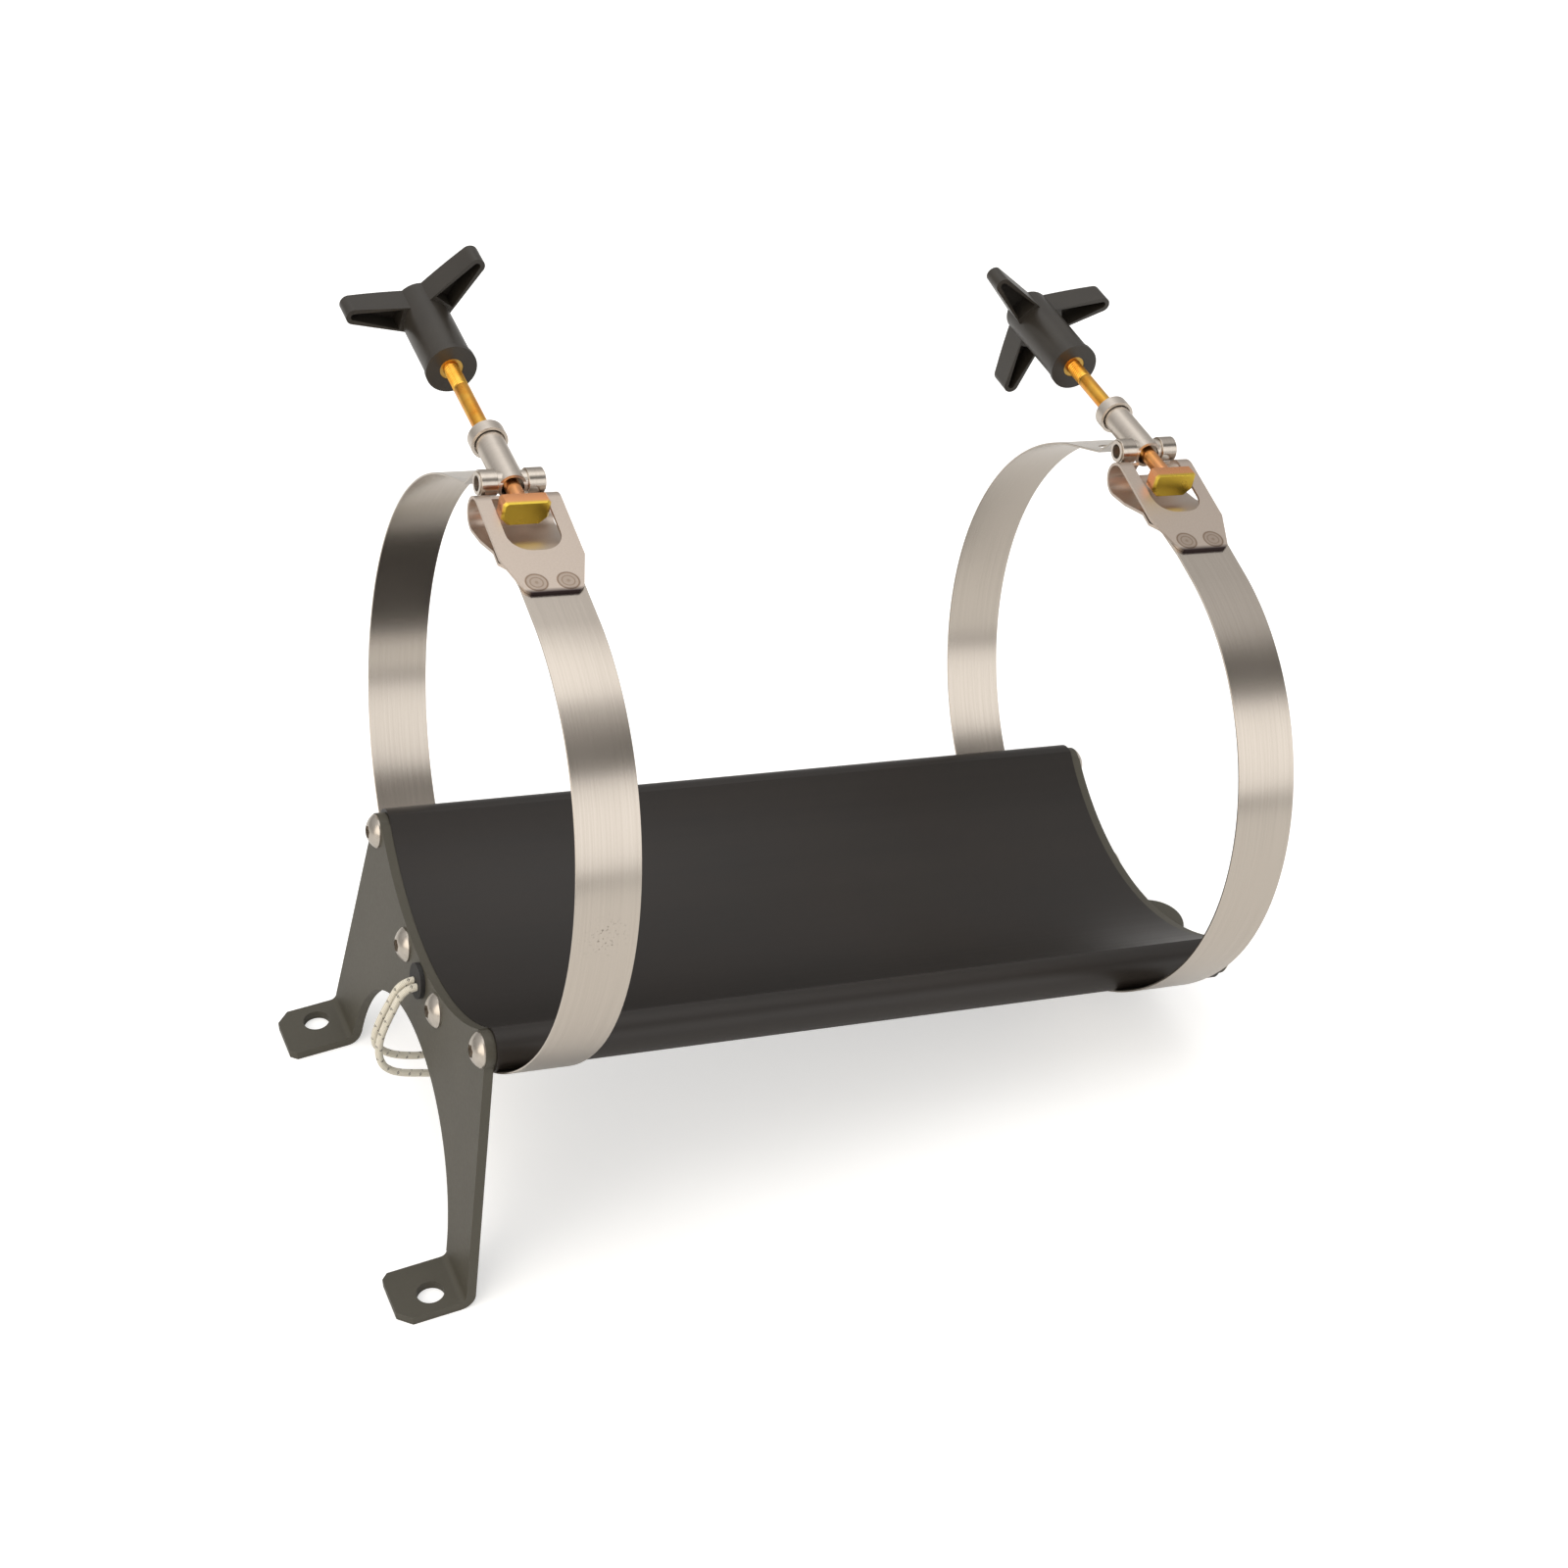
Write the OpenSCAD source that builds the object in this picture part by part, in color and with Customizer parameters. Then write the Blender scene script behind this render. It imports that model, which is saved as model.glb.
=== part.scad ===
// Heated gas cylinder bracket: a hollow curved saddle that stands tilted on
// three bent feet, with two sprung steel bands closed by T-bolt latches.
// The profile is drawn in the Y-Z plane of the saddle, whose length runs
// along X. to_ground() then tips it so that all three feet lie on Z = 0.

/* [Saddle] */
// Length of the saddle extrusion
saddle_l = 328; // [300:1:420]
// Radius of the trough that the cylinder lies in
trough_r = 112.6; // [108:0.2:118]
// Depth of the screw ports' centres below the trough
port_in = 8.4; // [8:0.1:9]
// Radius of the rounded side noses round the outer ports
nose_r = 9.2; // [8.8:0.1:9.8]
// Thickness of the saddle between the trough and its back
saddle_t = 17.3; // [16.8:0.1:17.4]
// Angle of the outer screw ports from the bottom of the trough
port_outer_a = 36.2; // [33:0.2:38]
// Angle of the inner screw ports from the bottom of the trough
port_inner_a = 10.2; // [9:0.2:12]
// Wall of the hollow extrusion
saddle_wall = 3; // [2.5:0.1:3.1]
// Bore of a screw port
port_d = 8.2; // [8.1:0.1:9]
// Height of the trough's centre over the centre of the bands
trough_rise = 15.9; // [14:0.1:18]

/* [End plates] */
// Thickness of both end plates
plate_t = 4; // [3:0.5:5]
// Tilt of the saddle, with its far end down
tilt = 11.6; // [8:0.1:14]
// Height of the near plate from the band centre down to its bend
leg_drop = 191.8; // [180:0.2:210]
// Half width across the near plate at its outer screws
leg_top_w = 77.2; // [76:0.2:80]
// Outward slope of the outer leg edges
leg_slope = 9.9; // [5:0.1:12]
// Radius of the arch between the legs
arch_r = 69.3; // [60:0.1:72]
// Height of the arch's centre below the bend of the feet
arch_sink = 7.9; // [0:0.1:12]
// Inside radius of the bends
bend_r = 3; // [2:0.5:5]
// Flat length of a near foot beyond its bend
foot_l = 25.4; // [22:0.1:30]
// Distance of a foot's hole from the end of its bend
foot_hole_at = 9.3; // [8:0.1:14]
// Distance between the two foot holes
foot_hole_gap = 172; // [164:1:176]
// Diameter of a foot's hole
foot_hole_d = 11.5; // [8:0.1:12]
// Corner chamfer of a foot
foot_chamfer = 5.5; // [3:0.5:7]
// Width of the far tongue
tongue_w = 32; // [26:0.5:36]
// Flat length of the far tongue up to the centre of its round end
tongue_l = 11.1; // [8:0.1:20]
// Radius of the tongue's round end
tongue_end_r = 16.2; // [16.1:0.1:20]
// Corner radius of the plates round the outer screws
plate_corner_r = 7.6; // [7:0.1:8.4]
// Step of the plates' lower edge inside those corners
plate_step = 0.4; // [0.2:0.1:1]
// Distance of the plates' upper edge below the trough
plate_shy = 0.3; // [0.1:0.1:1]

/* [Screws] */
// Thread diameter of the end plate screws
screw_d = 8; // [6:0.1:8]
// Head diameter of the end plate screws
screw_head_d = 14.4; // [12:0.1:15]
// Head height of the end plate screws
screw_head_h = 4.4; // [3.5:0.1:5]
// Radius of the dome of a screw's head
screw_dome_r = 8.9; // [8.4:0.1:12]
// Width across the flats of the screw socket
socket_af = 5; // [4:0.1:6]
// Depth of the screw socket
socket_deep = 2.6; // [2:0.1:3]
// Length of thread in the saddle
screw_grip = 16; // [10:1:24]

/* [Heater] */
// Thickness of the heater mat
mat_t = 2; // [1.5:0.1:3]
// Distance of the heater mat from each end of the saddle
mat_inset = 16; // [12:1:40]
// Diameter of each heater lead
lead_d = 3.2; // [2.6:0.1:3.4]
// Distance between the two leads in the grommet
lead_gap = 4.4; // [4:0.1:4.6]
// Distance of the leads below the grommet's centre
lead_low = 1.4; // [0:0.1:1.5]
// Diameter of the grommet's groove, and of its hole in the plate
grommet_d = 9.4; // [9:0.1:9.6]
// Diameter of the grommet's outer flange
grommet_flange_d = 15; // [14:0.1:16]
// Diameter of the grommet's inner flange, inside the hollow saddle
grommet_inner_d = 10.6; // [10:0.1:10.7]
// Thickness of each grommet flange
grommet_lip = 2; // [1.5:0.1:2.5]

/* [Bands] */
// Width of a band
band_w = 25.4; // [24:0.1:30]
// Thickness of a band
band_t = 0.8; // [0.6:0.1:1]
// Distance of the near band's centre from the near end of the saddle
near_band_inset = 13.9; // [13.9:0.1:40]
// Distance of the far band's centre from the far end of the saddle
far_band_inset = 36.9; // [16:0.1:60]
// Angle below the level at which the front side leaves the saddle's curve
front_turn = 30; // [26:1:36]
// Angle below the level at which the rear side leaves the saddle's curve
rear_turn = 45; // [40:1:48]
// Slope of the front end, which the latch loop is welded to
front_slope = 12.9; // [10:0.1:15]
// Slope of the rear end below its kink
rear_slope = 23.4; // [20:0.1:26]
// Height of the hinge barrel's axis over the band centre
hinge_z = 115.9; // [113:0.1:120]
// Distance of the hinge barrel's axis behind the band centre
hinge_y = 24.6; // [22:0.1:28]
// Distance of the rear kink behind the hinge axis
kink_back = 13.4; // [12.5:0.1:15]
// Distance of the rear kink below the hinge axis
kink_drop = 7.9; // [7:0.1:9]
// Sweep of the rear end rolled round the hinge barrel
roll_sweep = 215; // [190:5:225]

/* [Latch loops] */
// Thickness of the folded latch sheet
loop_t = 1.2; // [1:0.1:1.4]
// Outside radius of the curl that holds the bolt head
curl_r = 7.2; // [6.8:0.1:7.2]
// Distance of the curl's centre in front of the hinge axis
curl_front = 10.3; // [10.3:0.1:12]
// Distance of the curl's centre below the hinge axis
curl_drop = 7.4; // [7:0.1:7.8]
// Width of the sheet over the curl
loop_w = 33.6; // [32:0.1:36]
// Length of the sheet from the curl's centre to its front edge
loop_l = 47.3; // [40:0.1:52]
// Width of the window that the bolt head drops through
window_w = 21.8; // [20.6:0.1:24]
// Distance from the curl's centre to the front edge of the window
window_l = 26.3; // [25.5:0.1:29]
// Distance from the curl's centre to the shoulders of the sheet
shoulder_l = 29.5; // [28:0.1:32]
// Length of the sloped shoulders
shoulder_slope_l = 4; // [2:0.5:6]
// Height over the curl's centre of the window's edge in the curl
window_sill = 4; // [3:0.1:5]
// Width of the slot that the bolt's shank lies in
shank_slot_w = 8.4; // [7.4:0.1:10]
// Depth of that slot below the curl's centre
shank_slot_drop = 2.2; // [1.5:0.1:3]
// Slope of the curl's floor
floor_slope = 8; // [6:0.5:10]
// Length of the curl's floor from the curl's centre
floor_l = 9.8; // [8:0.1:11]

/* [T-bolts] */
// Diameter of the threaded shank
rod_d = 6.35; // [6:0.05:6.5]
// Width of the T-head across the band
head_w = 19; // [16:0.1:19.6]
// Height of the T-head
head_h = 10.5; // [9:0.1:10.6]
// Thickness of the T-head along the shank
head_t = 6; // [5:0.1:6.5]
// Chamfer of the T-head's front corners
head_chamfer = 3; // [1:0.1:4]
// Length of the shank behind the T-head
rod_l = 120; // [112:1:124]
// Tilt of the near bolt at rest, with its knob raised
near_bolt_tilt = 4.8; // [2:0.1:6]
// Tilt of the far bolt at rest, with its knob raised
far_bolt_tilt = 2; // [0:0.1:5]
// Distance of the near T-head from the hinge axis at rest
near_head_at = 17.6; // [14:0.1:20]
// Distance of the far T-head from the hinge axis at rest
far_head_at = 24.2; // [20:0.1:24.2]

/* [Trunnions] */
// Diameter of the hinge barrel
barrel_d = 8.6; // [8.2:0.1:8.8]
// Length of the hinge barrel past each side of the band
barrel_past = 0.5; // [0:0.1:1]
// Outside diameter of the guide tube
tube_d = 11.4; // [10.4:0.1:11.6]
// Bore of the guide tube
tube_bore = 9.1; // [8:0.1:9.4]
// Distance from the hinge axis at which the tube's bore starts
tube_bore_from = 3.3; // [2:0.1:4]
// Length of the guide tube from the hinge axis
tube_l = 27.8; // [24:0.1:32]
// Width of the cut-out in the band that the tube swings in
cutout_w = 12.2; // [12:0.1:13]
// Length of the cut-out behind the hinge axis
cutout_l = 28; // [28:0.1:32]
// Outside diameter of the thrust collar
collar_d = 14.7; // [14:0.1:16]
// Thickness of the thrust collar's end
collar_t = 2.6; // [2:0.1:3.5]
// Length of the thrust collar's skirt over the tube
collar_skirt = 2.6; // [2:0.1:4]
// Gap between the collar's skirt and the tube
collar_gap = 0.5; // [0.3:0.1:0.6]

/* [Knobs] */
// Length of the knob's hub
hub_l = 47.5; // [44:0.5:52]
// Diameter of the knob's hub
hub_d = 19.7; // [18:0.1:20.5]
// Diameter of the rim at the foot of the hub
hub_rim_d = 21; // [20.6:0.1:23]
// Height of that rim
hub_rim_h = 2.2; // [1.5:0.1:3]
// Radius to the tip of an arm
arm_r = 33.8; // [31:0.1:33.8]
// Thickness of the arms along the hub
arm_t = 13; // [11:0.1:13.5]
// Width of an arm at the hub
arm_root_w = 13; // [11:0.1:14]
// Width of an arm at its tip
arm_tip_w = 6.8; // [6:0.1:8]
// Wall of a cored-out arm
arm_wall = 1.9; // [1.5:0.1:2.2]
// Thickness of an arm's top
arm_top_t = 2.8; // [2:0.1:4]
// Thickness of the hub's closed top
hub_top_t = 4.3; // [3:0.1:6]
// Radial gap between the shank and the hub's bore
hub_bore_gap = 0.5; // [0.3:0.1:0.8]
// Fall of the domed top from its centre to the arm tips
dome_h = 2.6; // [1.5:0.1:3]
// Diameter of the threaded insert
insert_d = 9.4; // [9:0.1:10]
// Length of the threaded insert
insert_l = 12; // [8:0.5:16]
// Gap between the insert's inner end and the bottom of its seat
insert_end_gap = 0.3; // [0.2:0.1:0.5]
// Depth of the insert's face behind the foot of the hub
insert_sunk = 0.3; // [0.2:0.1:0.5]
// Distance from the near T-head to the foot of its knob
near_knob_at = 93.4; // [90:0.1:96]
// Distance from the far T-head to the foot of its knob
far_knob_at = 90.6; // [90:0.1:96]
// Direction of the near knob's first arm
near_knob_turn = 55; // [0:1:119]
// Direction of the far knob's first arm
far_knob_turn = 18.5; // [0:0.5:119]

/* [Fits] */
// Radial clearance of a turning or sliding fit
run_fit = 0.06; // [0.02:0.01:0.1]
// Radial clearance of a screw in its plate
screw_gap = 0.3; // [0.1:0.05:0.5]
// Gap left between pieces that are only seated on each other
seat_gap = 0.1; // [0.05:0.05:0.2]

/* [Hidden] */
$fn = 64;

// Length by which a cut runs past the face that it opens
past = 1;
// Depth by which a cut runs past the saddle's curved faces
trough_cut = 4;

// Saddle: everything on it lies on circles round the trough's centre
port_r = trough_r + port_in;
back_r = trough_r + saddle_t;
cavity_in_r = trough_r + saddle_wall;
cavity_out_r = back_r - saddle_wall;
// Round boss of a screw port, and half the angle that it takes up
boss_r = port_d / 2 + saddle_wall;
boss_a = asin(boss_r / port_r);
// Angle that half a nose takes up
nose_a = asin(nose_r / port_r);
// Angle left clear beside each long edge of the heater mat
mat_side_a = 0.4;
grommet_z = trough_rise - port_r;

// Bends: the near one turns the feet outward, the far one the tongue
near_bend_x = -plate_t - bend_r;
near_bend_z = -leg_drop;
far_bend_x = saddle_l + plate_t + bend_r;
far_bend_z = near_bend_z + (far_bend_x - near_bend_x) * tan(tilt);
bend_out_r = bend_r + plate_t;
foot_half_w = leg_top_w + (leg_drop + port_z(port_outer_a)) * tan(leg_slope);
arch_z = near_bend_z - arch_sink;

// Ground point midway between the two foot holes
hole_x = near_bend_x + bend_out_r * sin(tilt) - foot_hole_at * cos(tilt);
hole_z = near_bend_z - bend_out_r * cos(tilt) - foot_hole_at * sin(tilt);

// Angles between the points of a drawn curve, and of the small roll
arc_step = 2.5;
roll_step = 8;
// Angle skipped where two arcs meet, so that no point is drawn twice
join_a = 1;

// Band: thickness centre line, seated on the saddle's back
band_r = back_r + seat_gap + band_t / 2;
near_band_x = near_band_inset;
far_band_x = saddle_l - far_band_inset;
kink = [hinge_y + kink_back, hinge_z - kink_drop];
rear_n = [sin(rear_slope), cos(rear_slope)];
front_n = [-sin(front_slope), cos(front_slope)];

curl_c = [hinge_y - curl_front, hinge_z - curl_drop];
// Distance of the band's end from the window, and of the tail's bend past it
band_short = 1;
tail_past = 2;
// Distance of the band's centre line from the curl's centre, along front_n
band_under = curl_r - loop_t - seat_gap - band_t / 2;
front_line = curl_c + band_under * front_n;
// Radius of a side arc that leaves the saddle's curve at an angle below
// the level and ends along a straight line with normal n through p
function side_r(turn, n, p) =
    let (u = [sign(n[0]) * cos(turn), -sin(turn)],
         k = n * u)
    (n * p - n[1] * trough_rise - band_r * k) / (1 - k);
function side_c(turn, n, r) =
    [sign(n[0]) * cos(turn) * (band_r - r), trough_rise - sin(turn) * (band_r - r)];
rear_r = side_r(rear_turn, rear_n, kink);
rear_c = side_c(rear_turn, rear_n, rear_r);
front_r = side_r(front_turn, front_n, front_line);
front_c = side_c(front_turn, front_n, front_r);

// Rolled end: tangent from the kink onto the roll round the barrel
roll_in_r = barrel_d / 2 + run_fit;
roll_r = roll_in_r + band_t / 2;
kink_len = norm([kink_back, kink_drop]);
roll_start = atan2(-kink_drop, kink_back) + acos(roll_r / kink_len);
hinge = [hinge_y, hinge_z];
roll_point = hinge + roll_r * [cos(roll_start), sin(roll_start)];

// Knob: radius of the ball that domes its top
dome_r = (arm_r * arm_r + dome_h * dome_h) / (2 * dome_h);

// Heater leads: routes in the ground's frame, from the grommet outward.
// The first points lie along the grommet's bore, the rest are laid by hand.
lead_exit = [3, -1.5, -6];
lead_a_route = [[24.6, -2.2, 90.2], [22.1, -2.3, 89.2], [19.7, -2.6, 87.2],
                [16.5, -3.3, 82.6], [12, -4.7, 76],
                [9, -5.4, 69.5], [7.8, -5.9, 63], [8.7, -6, 57], [11.5, -5.5, 52.3],
                [16, -5, 48.5], [23.4, -3, 43.5], [31.5, 0, 38.2], [41.5, 6, 33.5],
                [51.5, 19, 28], [60.5, 36, 21], [68.5, 55, 13], [76.5, 75, 6],
                [85.5, 93, 2.6], [96.5, 108, 1.8], [111.5, 119, 1.8], [130.5, 126, 1.8],
                [150.5, 130, 1.8], [169, 132, 1.8], [187, 133, 1.8]];
lead_b_route = [[24.6, 2.2, 90.2], [22.1, 2.2, 89.2], [19.8, 2.1, 87.2],
                [16.4, 1.6, 82.6], [11.8, 0.7, 76],
                [8.7, 0, 69.7], [8.2, 0.8, 63.2], [10.7, 2, 57.4], [14.8, 3.4, 52.3],
                [20.5, 5.2, 47.5], [28, 7.2, 43], [36.5, 11, 39], [45.5, 20, 34],
                [54.5, 32, 28], [63.5, 50, 20.5], [71.5, 69, 12.5], [79.5, 89, 5.8],
                [88.5, 108, 2.4], [99.5, 123, 1.8], [115.5, 133, 1.8], [136.5, 139, 1.8],
                [154, 142, 1.8], [170, 143.5, 1.8], [187, 144.5, 1.8]];

// Height of a point on the port circle at an angle from the bottom
function port_z(a) = trough_rise - port_r * cos(a);
function port_y(a) = port_r * sin(a);

// A point of the saddle's frame, given in the ground frame
function on_ground(p) =
    let (x = p[0] - hole_x, z = p[2] - hole_z)
    [x * cos(tilt) + z * sin(tilt), p[1], z * cos(tilt) - x * sin(tilt)];

module to_ground() {
    rotate([0, tilt, 0]) translate([-hole_x, 0, -hole_z]) children();
}

// Places a Y-Z drawing so that it is extruded along X
module across(x, w) {
    translate([x - w / 2, 0, 0]) rotate([90, 0, 90]) linear_extrude(w) children();
}

// A piece of tube wall with centre line radius r, between two angles
module arc_wall(x, w, c, r, t, from, to) {
    translate([x - w / 2, c[0], c[1]])
        rotate([90, 0, 90])
            rotate([0, 0, from])
                rotate_extrude(angle = to - from, $fn = 180)
                    translate([r - t / 2, 0])
                        square([t, w]);
}

// A round bar along X
module bar(x, l, p, d) {
    translate([x, p[0], p[1]]) rotate([0, 90, 0]) cylinder(d = d, h = l);
}

// --- Saddle -------------------------------------------------------------

trough_c = [0, trough_rise];

module saddle_band(x, w, in_r, out_r, a, b) {
    arc_wall(x, w, trough_c, (in_r + out_r) / 2, out_r - in_r, a - 90, b - 90);
}

// A hollow of the extrusion, which ends round the bosses of two ports
module chamber(a, b) {
    difference() {
        saddle_band(saddle_l / 2, saddle_l + 2 * past, cavity_in_r, cavity_out_r, a, b);
        for (end = [a, b])
            bar(-2 * past, saddle_l + 4 * past, [port_y(end), port_z(end)], 2 * boss_r);
    }
}

// What is cut off past the outer port at angle a, to leave a round nose
module past_nose(a) {
    from = min(a, a + sign(a) * 2 * nose_a);
    difference() {
        saddle_band(saddle_l / 2, saddle_l + 2 * past, trough_r - trough_cut,
                    back_r + trough_cut, from, from + 2 * nose_a);
        bar(-2 * past, saddle_l + 4 * past, [port_y(a), port_z(a)], 2 * nose_r);
    }
}

module saddle() {
    side_a = port_outer_a + 1.5 * nose_a;
    color("dimgray") to_ground() difference() {
        saddle_band(saddle_l / 2, saddle_l, trough_r, back_r, -side_a, side_a);
        past_nose(port_outer_a);
        past_nose(-port_outer_a);
        chamber(-port_inner_a, port_inner_a);
        chamber(port_inner_a, port_outer_a);
        chamber(-port_outer_a, -port_inner_a);
        for (s = [-1, 1], a = [port_inner_a, port_outer_a])
            bar(-past, saddle_l + 2 * past, [s * port_y(a), port_z(a)], port_d);
    }
}

module heater_mat() {
    w = saddle_l - 2 * mat_inset;
    mat_a = port_inner_a - boss_a - mat_side_a;
    color("darkorange") to_ground()
        saddle_band(saddle_l / 2, w, cavity_in_r + seat_gap,
                    cavity_in_r + seat_gap + mat_t, -mat_a, mat_a);
}

// --- End plates ---------------------------------------------------------

// The part of a plate that covers the saddle's end, before its trough is cut
module plate_head(x) {
    head_r = port_r + plate_corner_r - plate_step;
    mid = x + plate_t / 2;
    saddle_band(mid, plate_t, trough_r - trough_cut, head_r, -port_outer_a, port_outer_a);
    for (s = [-1, 1])
        bar(x, plate_t, [s * port_y(port_outer_a), port_z(port_outer_a)], 2 * plate_corner_r);
}

module plate_trough(x) {
    bar(x - past, plate_t + 2 * past, trough_c, 2 * (trough_r + plate_shy));
}

module plate_holes(x) {
    for (s = [-1, 1], a = [port_inner_a, port_outer_a])
        bar(x - past, plate_t + 2 * past, [s * port_y(a), port_z(a)], screw_d + 2 * screw_gap);
}

// A bend through an angle, turning about a line along Y at x, z
module bend(x, z, y0, y1, from, sweep) {
    translate([x, y0, z])
        rotate([-90, 0, 0])
            rotate([0, 0, -from - sweep])
                rotate_extrude(angle = sweep, $fn = 90)
                    translate([bend_r, 0])
                        square([plate_t, y1 - y0]);
}

module near_foot(s) {
    y0 = min(s * arch_r, s * foot_half_w);
    y1 = max(s * arch_r, s * foot_half_w);
    // The foot's outline seen from above, running outward from the bend
    outline = [[0, y0], [0, y1],
               [foot_l - (s > 0 ? foot_chamfer : foot_chamfer / 2), y1],
               [foot_l, y1 - (s > 0 ? foot_chamfer : foot_chamfer / 2)],
               [foot_l, y0 + (s < 0 ? foot_chamfer : foot_chamfer / 2)],
               [foot_l - (s < 0 ? foot_chamfer : foot_chamfer / 2), y0]];
    bend(near_bend_x, near_bend_z, y0, y1, tilt - 90, 90 - tilt);
    translate([near_bend_x, 0, near_bend_z])
        rotate([0, -tilt, 0])
            translate([0, 0, -bend_out_r])
                linear_extrude(plate_t)
                    polygon([for (p = outline) [-p[0], p[1]]]);
}

module near_end_plate() {
    top_z = port_z(port_outer_a);
    color("black") to_ground() difference() {
        union() {
            difference() {
                union() {
                    plate_head(-plate_t);
                    across(-plate_t / 2, plate_t)
                        polygon([[-leg_top_w, top_z], [leg_top_w, top_z],
                                 [foot_half_w, near_bend_z], [-foot_half_w, near_bend_z]]);
                }
                bar(-plate_t - past, plate_t + 2 * past, [0, arch_z], 2 * arch_r);
            }
            for (s = [-1, 1]) near_foot(s);
        }
        plate_trough(-plate_t);
        plate_holes(-plate_t);
        bar(-plate_t - past, plate_t + 2 * past, [0, grommet_z], grommet_d);
        for (s = [-1, 1])
            translate([hole_x, s * foot_hole_gap / 2, hole_z])
                rotate([0, -tilt, 0])
                    translate([0, 0, -past])
                        cylinder(d = foot_hole_d, h = plate_t + 2 * past);
    }
}

module far_end_plate() {
    mid = saddle_l + plate_t / 2;
    bend_c = [far_bend_x, far_bend_z];
    along = [cos(tilt), sin(tilt)];
    bend_line = arc_points(bend_c, bend_r + plate_t / 2, 180, 270 + tilt, arc_step);
    bend_end = bend_line[len(bend_line) - 1];
    strip = concat([[mid, grommet_z]], bend_line,
                   [bend_end + (tongue_l + tongue_end_r) * along]);
    color("black") to_ground() difference() {
        union() {
            plate_head(saddle_l);
            translate([0, tongue_w / 2, 0])
                rotate([90, 0, 0])
                    linear_extrude(tongue_w) sheet(strip, plate_t);
        }
        plate_trough(saddle_l);
        plate_holes(saddle_l);
        // Round end of the tongue
        translate([far_bend_x, 0, far_bend_z])
            rotate([0, -tilt, 0])
                translate([tongue_l, 0, -bend_out_r - past]) difference() {
                    translate([0, -tongue_w, 0])
                        cube([2 * tongue_end_r, 2 * tongue_w, plate_t + 2 * past]);
                    cylinder(r = tongue_end_r, h = 3 * plate_t);
                }
    }
}

// --- Screws -------------------------------------------------------------

// A button-head socket screw whose head faces along -X
module button_screw() {
    rotate([0, -90, 0]) difference() {
        union() {
            translate([0, 0, -screw_grip - plate_t])
                cylinder(d = screw_d, h = screw_grip + plate_t);
            intersection() {
                cylinder(d = screw_head_d, h = screw_head_h);
                translate([0, 0, screw_head_h - screw_dome_r])
                    sphere(r = screw_dome_r);
            }
        }
        translate([0, 0, screw_head_h - socket_deep])
            cylinder(d = socket_af / cos(30), h = socket_deep + past, $fn = 6);
    }
}

module plate_screws(x, turn) {
    color("silver") to_ground()
        for (s = [-1, 1], a = [port_inner_a, port_outer_a])
            translate([x, s * port_y(a), port_z(a)])
                rotate([0, 0, turn]) button_screw();
}

module near_plate_screws() {
    plate_screws(-plate_t, 0);
}

module far_plate_screws() {
    plate_screws(saddle_l + plate_t, 180);
}

// --- Heater leads -------------------------------------------------------

module lead_grommet() {
    long = plate_t + 2 * grommet_lip;
    color("darkslategray") to_ground()
        translate([-plate_t - grommet_lip, 0, grommet_z])
            rotate([0, 90, 0]) difference() {
                union() {
                    cylinder(d = grommet_d - 2 * seat_gap, h = long);
                    cylinder(d = grommet_flange_d, h = grommet_lip - seat_gap / 2);
                    translate([0, 0, grommet_lip + plate_t + seat_gap / 2])
                        cylinder(d = grommet_inner_d, h = grommet_lip - seat_gap / 2);
                }
                for (s = [-1, 1])
                    translate([lead_low, s * lead_gap / 2, -past])
                        cylinder(d = lead_d + 2 * seat_gap, h = long + 2 * past);
            }
}

// Frame carried along a route without twist, and the ring at each point
function unit(v) = v / norm(v);
function way(p, i) =
    i == 0 ? unit(p[1] - p[0]) :
    i == len(p) - 1 ? unit(p[i] - p[i - 1]) :
    unit(unit(p[i + 1] - p[i]) + unit(p[i] - p[i - 1]));
function sides(p, i, s) =
    i == len(p) ? [] :
    let (t = way(p, i), n = unit(s - (s * t) * t))
    concat([[n, cross(t, n)]], sides(p, i + 1, n));
function smooth(p, i, u) =
    let (a = p[max(i - 1, 0)], b = p[i], c = p[i + 1], d = p[min(i + 2, len(p) - 1)])
    0.5 * (2 * b + (c - a) * u + (2 * a - 5 * b + 4 * c - d) * u * u
           + (3 * b - a - 3 * c + d) * u * u * u);
// Rings on each stretch of a lead: a long one gets another halfway
function rings_on(p, i) = norm(p[i + 1] - p[i]) > 3 * lead_d ? 2 : 1;
function route(p) =
    concat([for (i = [0 : len(p) - 2], j = [0 : rings_on(p, i) - 1])
            smooth(p, i, j / rings_on(p, i))],
           [p[len(p) - 1]]);

module lead(side, points) {
    from_grommet = [for (x = lead_exit)
                    on_ground([x, side * lead_gap / 2, grommet_z - lead_low])];
    path = route(concat(from_grommet, points));
    frames = sides(path, 0, [0, 1, 0]);
    m = 8;
    n = len(path);
    rings = [for (i = [0 : n - 1], j = [0 : m - 1])
             path[i] + lead_d / 2 * (cos(360 * j / m) * frames[i][0]
                                     + sin(360 * j / m) * frames[i][1])];
    walls = [for (i = [0 : n - 2], j = [0 : m - 1])
             [i * m + j, (i + 1) * m + j, (i + 1) * m + (j + 1) % m, i * m + (j + 1) % m]];
    caps = [[for (j = [0 : m - 1]) j], [for (j = [m - 1 : -1 : 0]) (n - 1) * m + j]];
    color("wheat") polyhedron(points = rings, faces = concat(walls, caps), convexity = 10);
}

module lead_a() {
    lead(-1, lead_a_route);
}

module lead_b() {
    lead(1, lead_b_route);
}

// --- Bands --------------------------------------------------------------

// Centre line of the band, from its front tip under the saddle to the roll
function arc_points(c, r, from, to, step) =
    let (n = ceil(abs(to - from) / step))
    [for (i = [0 : n]) c + r * [cos(from + (to - from) * i / n), sin(from + (to - from) * i / n)]];

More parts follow.
